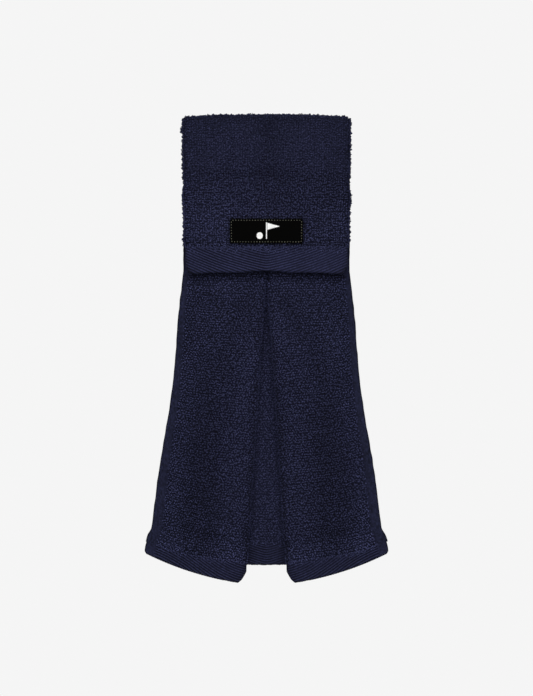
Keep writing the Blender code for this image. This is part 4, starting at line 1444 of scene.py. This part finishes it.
def dress_tape(node, material):
    """The CAD mesh of a tape carries no tone, so its material takes it as 1."""
    tape = material.copy()
    tape.name = material.name + "_ground"
    links = tape.node_tree.links
    tone_link = next(link for link in links if link.from_node.type == "ATTRIBUTE")
    target = tone_link.to_socket
    links.remove(tone_link)
    target.default_value = 1.0
    materials = frame["nodes"][node].data.materials
    materials.clear()
    materials.append(tape)


# ---- stage: floor, backdrop, lights, camera (metres) ------------------------------------------
BACKDROP = (0.914, 0.914, 0.914, 1.0)
AIM = (0, 0, -0.2)
# name, place, size, power
LIGHTS = (
    ("key", (0.0, -1.5, 1.5), (1.6, 0.7), 34.0),
    ("fill_front", (0.0, -2.6, -0.1), (1.6, 1.6), 8.0),
    ("rim_back", (0.6, 2.0, 1.3), (1.8, 1.4), 40.0),
)


def floor_material():
    """Pale floor that fades into the backdrop far out, so that no horizon line shows."""
    mat = bpy.data.materials.new("floor_pale")
    mat.use_nodes = True
    nodes, link = mat.node_tree.nodes, mat.node_tree.links.new
    surface = nodes["Principled BSDF"]
    surface.inputs["Base Color"].default_value = (0.80, 0.80, 0.80, 1.0)
    surface.inputs["Roughness"].default_value = 0.9
    far = nodes.new("ShaderNodeMapRange")
    far.interpolation_type = "SMOOTHSTEP"
    far.inputs["From Min"].default_value = 0.95
    far.inputs["From Max"].default_value = 1.75
    coord = nodes.new("ShaderNodeTexCoord")
    distance = nodes.new("ShaderNodeVectorMath")
    distance.operation = "LENGTH"
    light_path = nodes.new("ShaderNodeLightPath")
    seen_far = nodes.new("ShaderNodeMath")
    seen_far.operation = "MULTIPLY"
    glow = nodes.new("ShaderNodeEmission")
    glow.inputs["Color"].default_value = BACKDROP
    mix = nodes.new("ShaderNodeMixShader")
    link(coord.outputs["Object"], distance.inputs[0])
    link(distance.outputs["Value"], far.inputs["Value"])
    link(far.outputs["Result"], seen_far.inputs[0])
    link(light_path.outputs["Is Camera Ray"], seen_far.inputs[1])
    link(seen_far.outputs[0], mix.inputs[0])
    link(surface.outputs[0], mix.inputs[1])
    link(glow.outputs[0], mix.inputs[2])
    output = next(node for node in nodes if node.type == "OUTPUT_MATERIAL")
    link(mix.outputs[0], output.inputs[0])
    return mat


def make_floor(scene):
    radius, height, count = 3.0, -0.75, 96
    ring = []
    for i in range(count):
        angle = 2 * PI * i / count
        ring.append((radius * math.cos(angle), radius * math.sin(angle), height))
    mesh = bpy.data.meshes.new("floor")
    mesh.from_pydata(ring, [], [list(range(count))])
    floor = bpy.data.objects.new("floor", mesh)
    scene.collection.objects.link(floor)
    mesh.materials.append(floor_material())


def make_world(scene):
    """Soft white light, while the camera sees the grey backdrop."""
    world = bpy.data.worlds.new("studio")
    scene.world = world
    world.use_nodes = True
    nodes, link = world.node_tree.nodes, world.node_tree.links.new
    nodes.clear()
    output = nodes.new("ShaderNodeOutputWorld")
    mix = nodes.new("ShaderNodeMixShader")
    light_path = nodes.new("ShaderNodeLightPath")
    soft = nodes.new("ShaderNodeBackground")
    seen = nodes.new("ShaderNodeBackground")
    soft.inputs["Color"].default_value = (1.0, 1.0, 1.0, 1.0)
    soft.inputs["Strength"].default_value = 0.55
    seen.inputs["Color"].default_value = BACKDROP
    seen.inputs["Strength"].default_value = 1.0
    link(light_path.outputs["Is Camera Ray"], mix.inputs[0])
    link(soft.outputs[0], mix.inputs[1])
    link(seen.outputs[0], mix.inputs[2])
    link(mix.outputs[0], output.inputs[0])


def area_light(scene, name, place, size, power):
    data = bpy.data.lights.new(name, "AREA")
    data.shape = "RECTANGLE"
    data.size, data.size_y = size
    data.energy = power
    ob = bpy.data.objects.new(name, data)
    scene.collection.objects.link(ob)
    ob.location = place
    ob.rotation_euler = (Vector(AIM) - Vector(place)).to_track_quat("-Z", "Y").to_euler()


def make_camera(scene):
    data = bpy.data.cameras.new("camera")
    data.lens = 234.6
    data.sensor_width = 36.0
    data.clip_end = 50.0
    camera = bpy.data.objects.new("camera", data)
    scene.collection.objects.link(camera)
    camera.location = (0.0, -4.0, -0.2030)
    camera.rotation_euler = (PI / 2, 0.0, 0.0)
    scene.camera = camera


# ---- building it all --------------------------------------------------------------------------
make_flap_cloth(*make_flap_band())
make_yoke_cloth()
for side, mirror in SIDES:
    make_yoke_hem(side, mirror)
panel, border = panel_grid(), border_grid()
for side, mirror in SIDES:
    make_panel_cloth(side, mirror, panel, border)
    make_panel_hem(side, mirror)
    make_hem_border(side, mirror, border)
    make_return_border(side, mirror)
make_backing_cloth(*make_backing_border())
make_label()
make_label_stitching()
make_embroidery()
make_hem_threads()
make_hooks()
make_loop_pile()
dress_tape("hook_tape", m_hook)
dress_tape("loop_tape", m_loop)

scene = bpy.context.scene
make_floor(scene)
scene.view_settings.view_transform = "Standard"
make_world(scene)
for light in LIGHTS:
    area_light(scene, *light)
make_camera(scene)
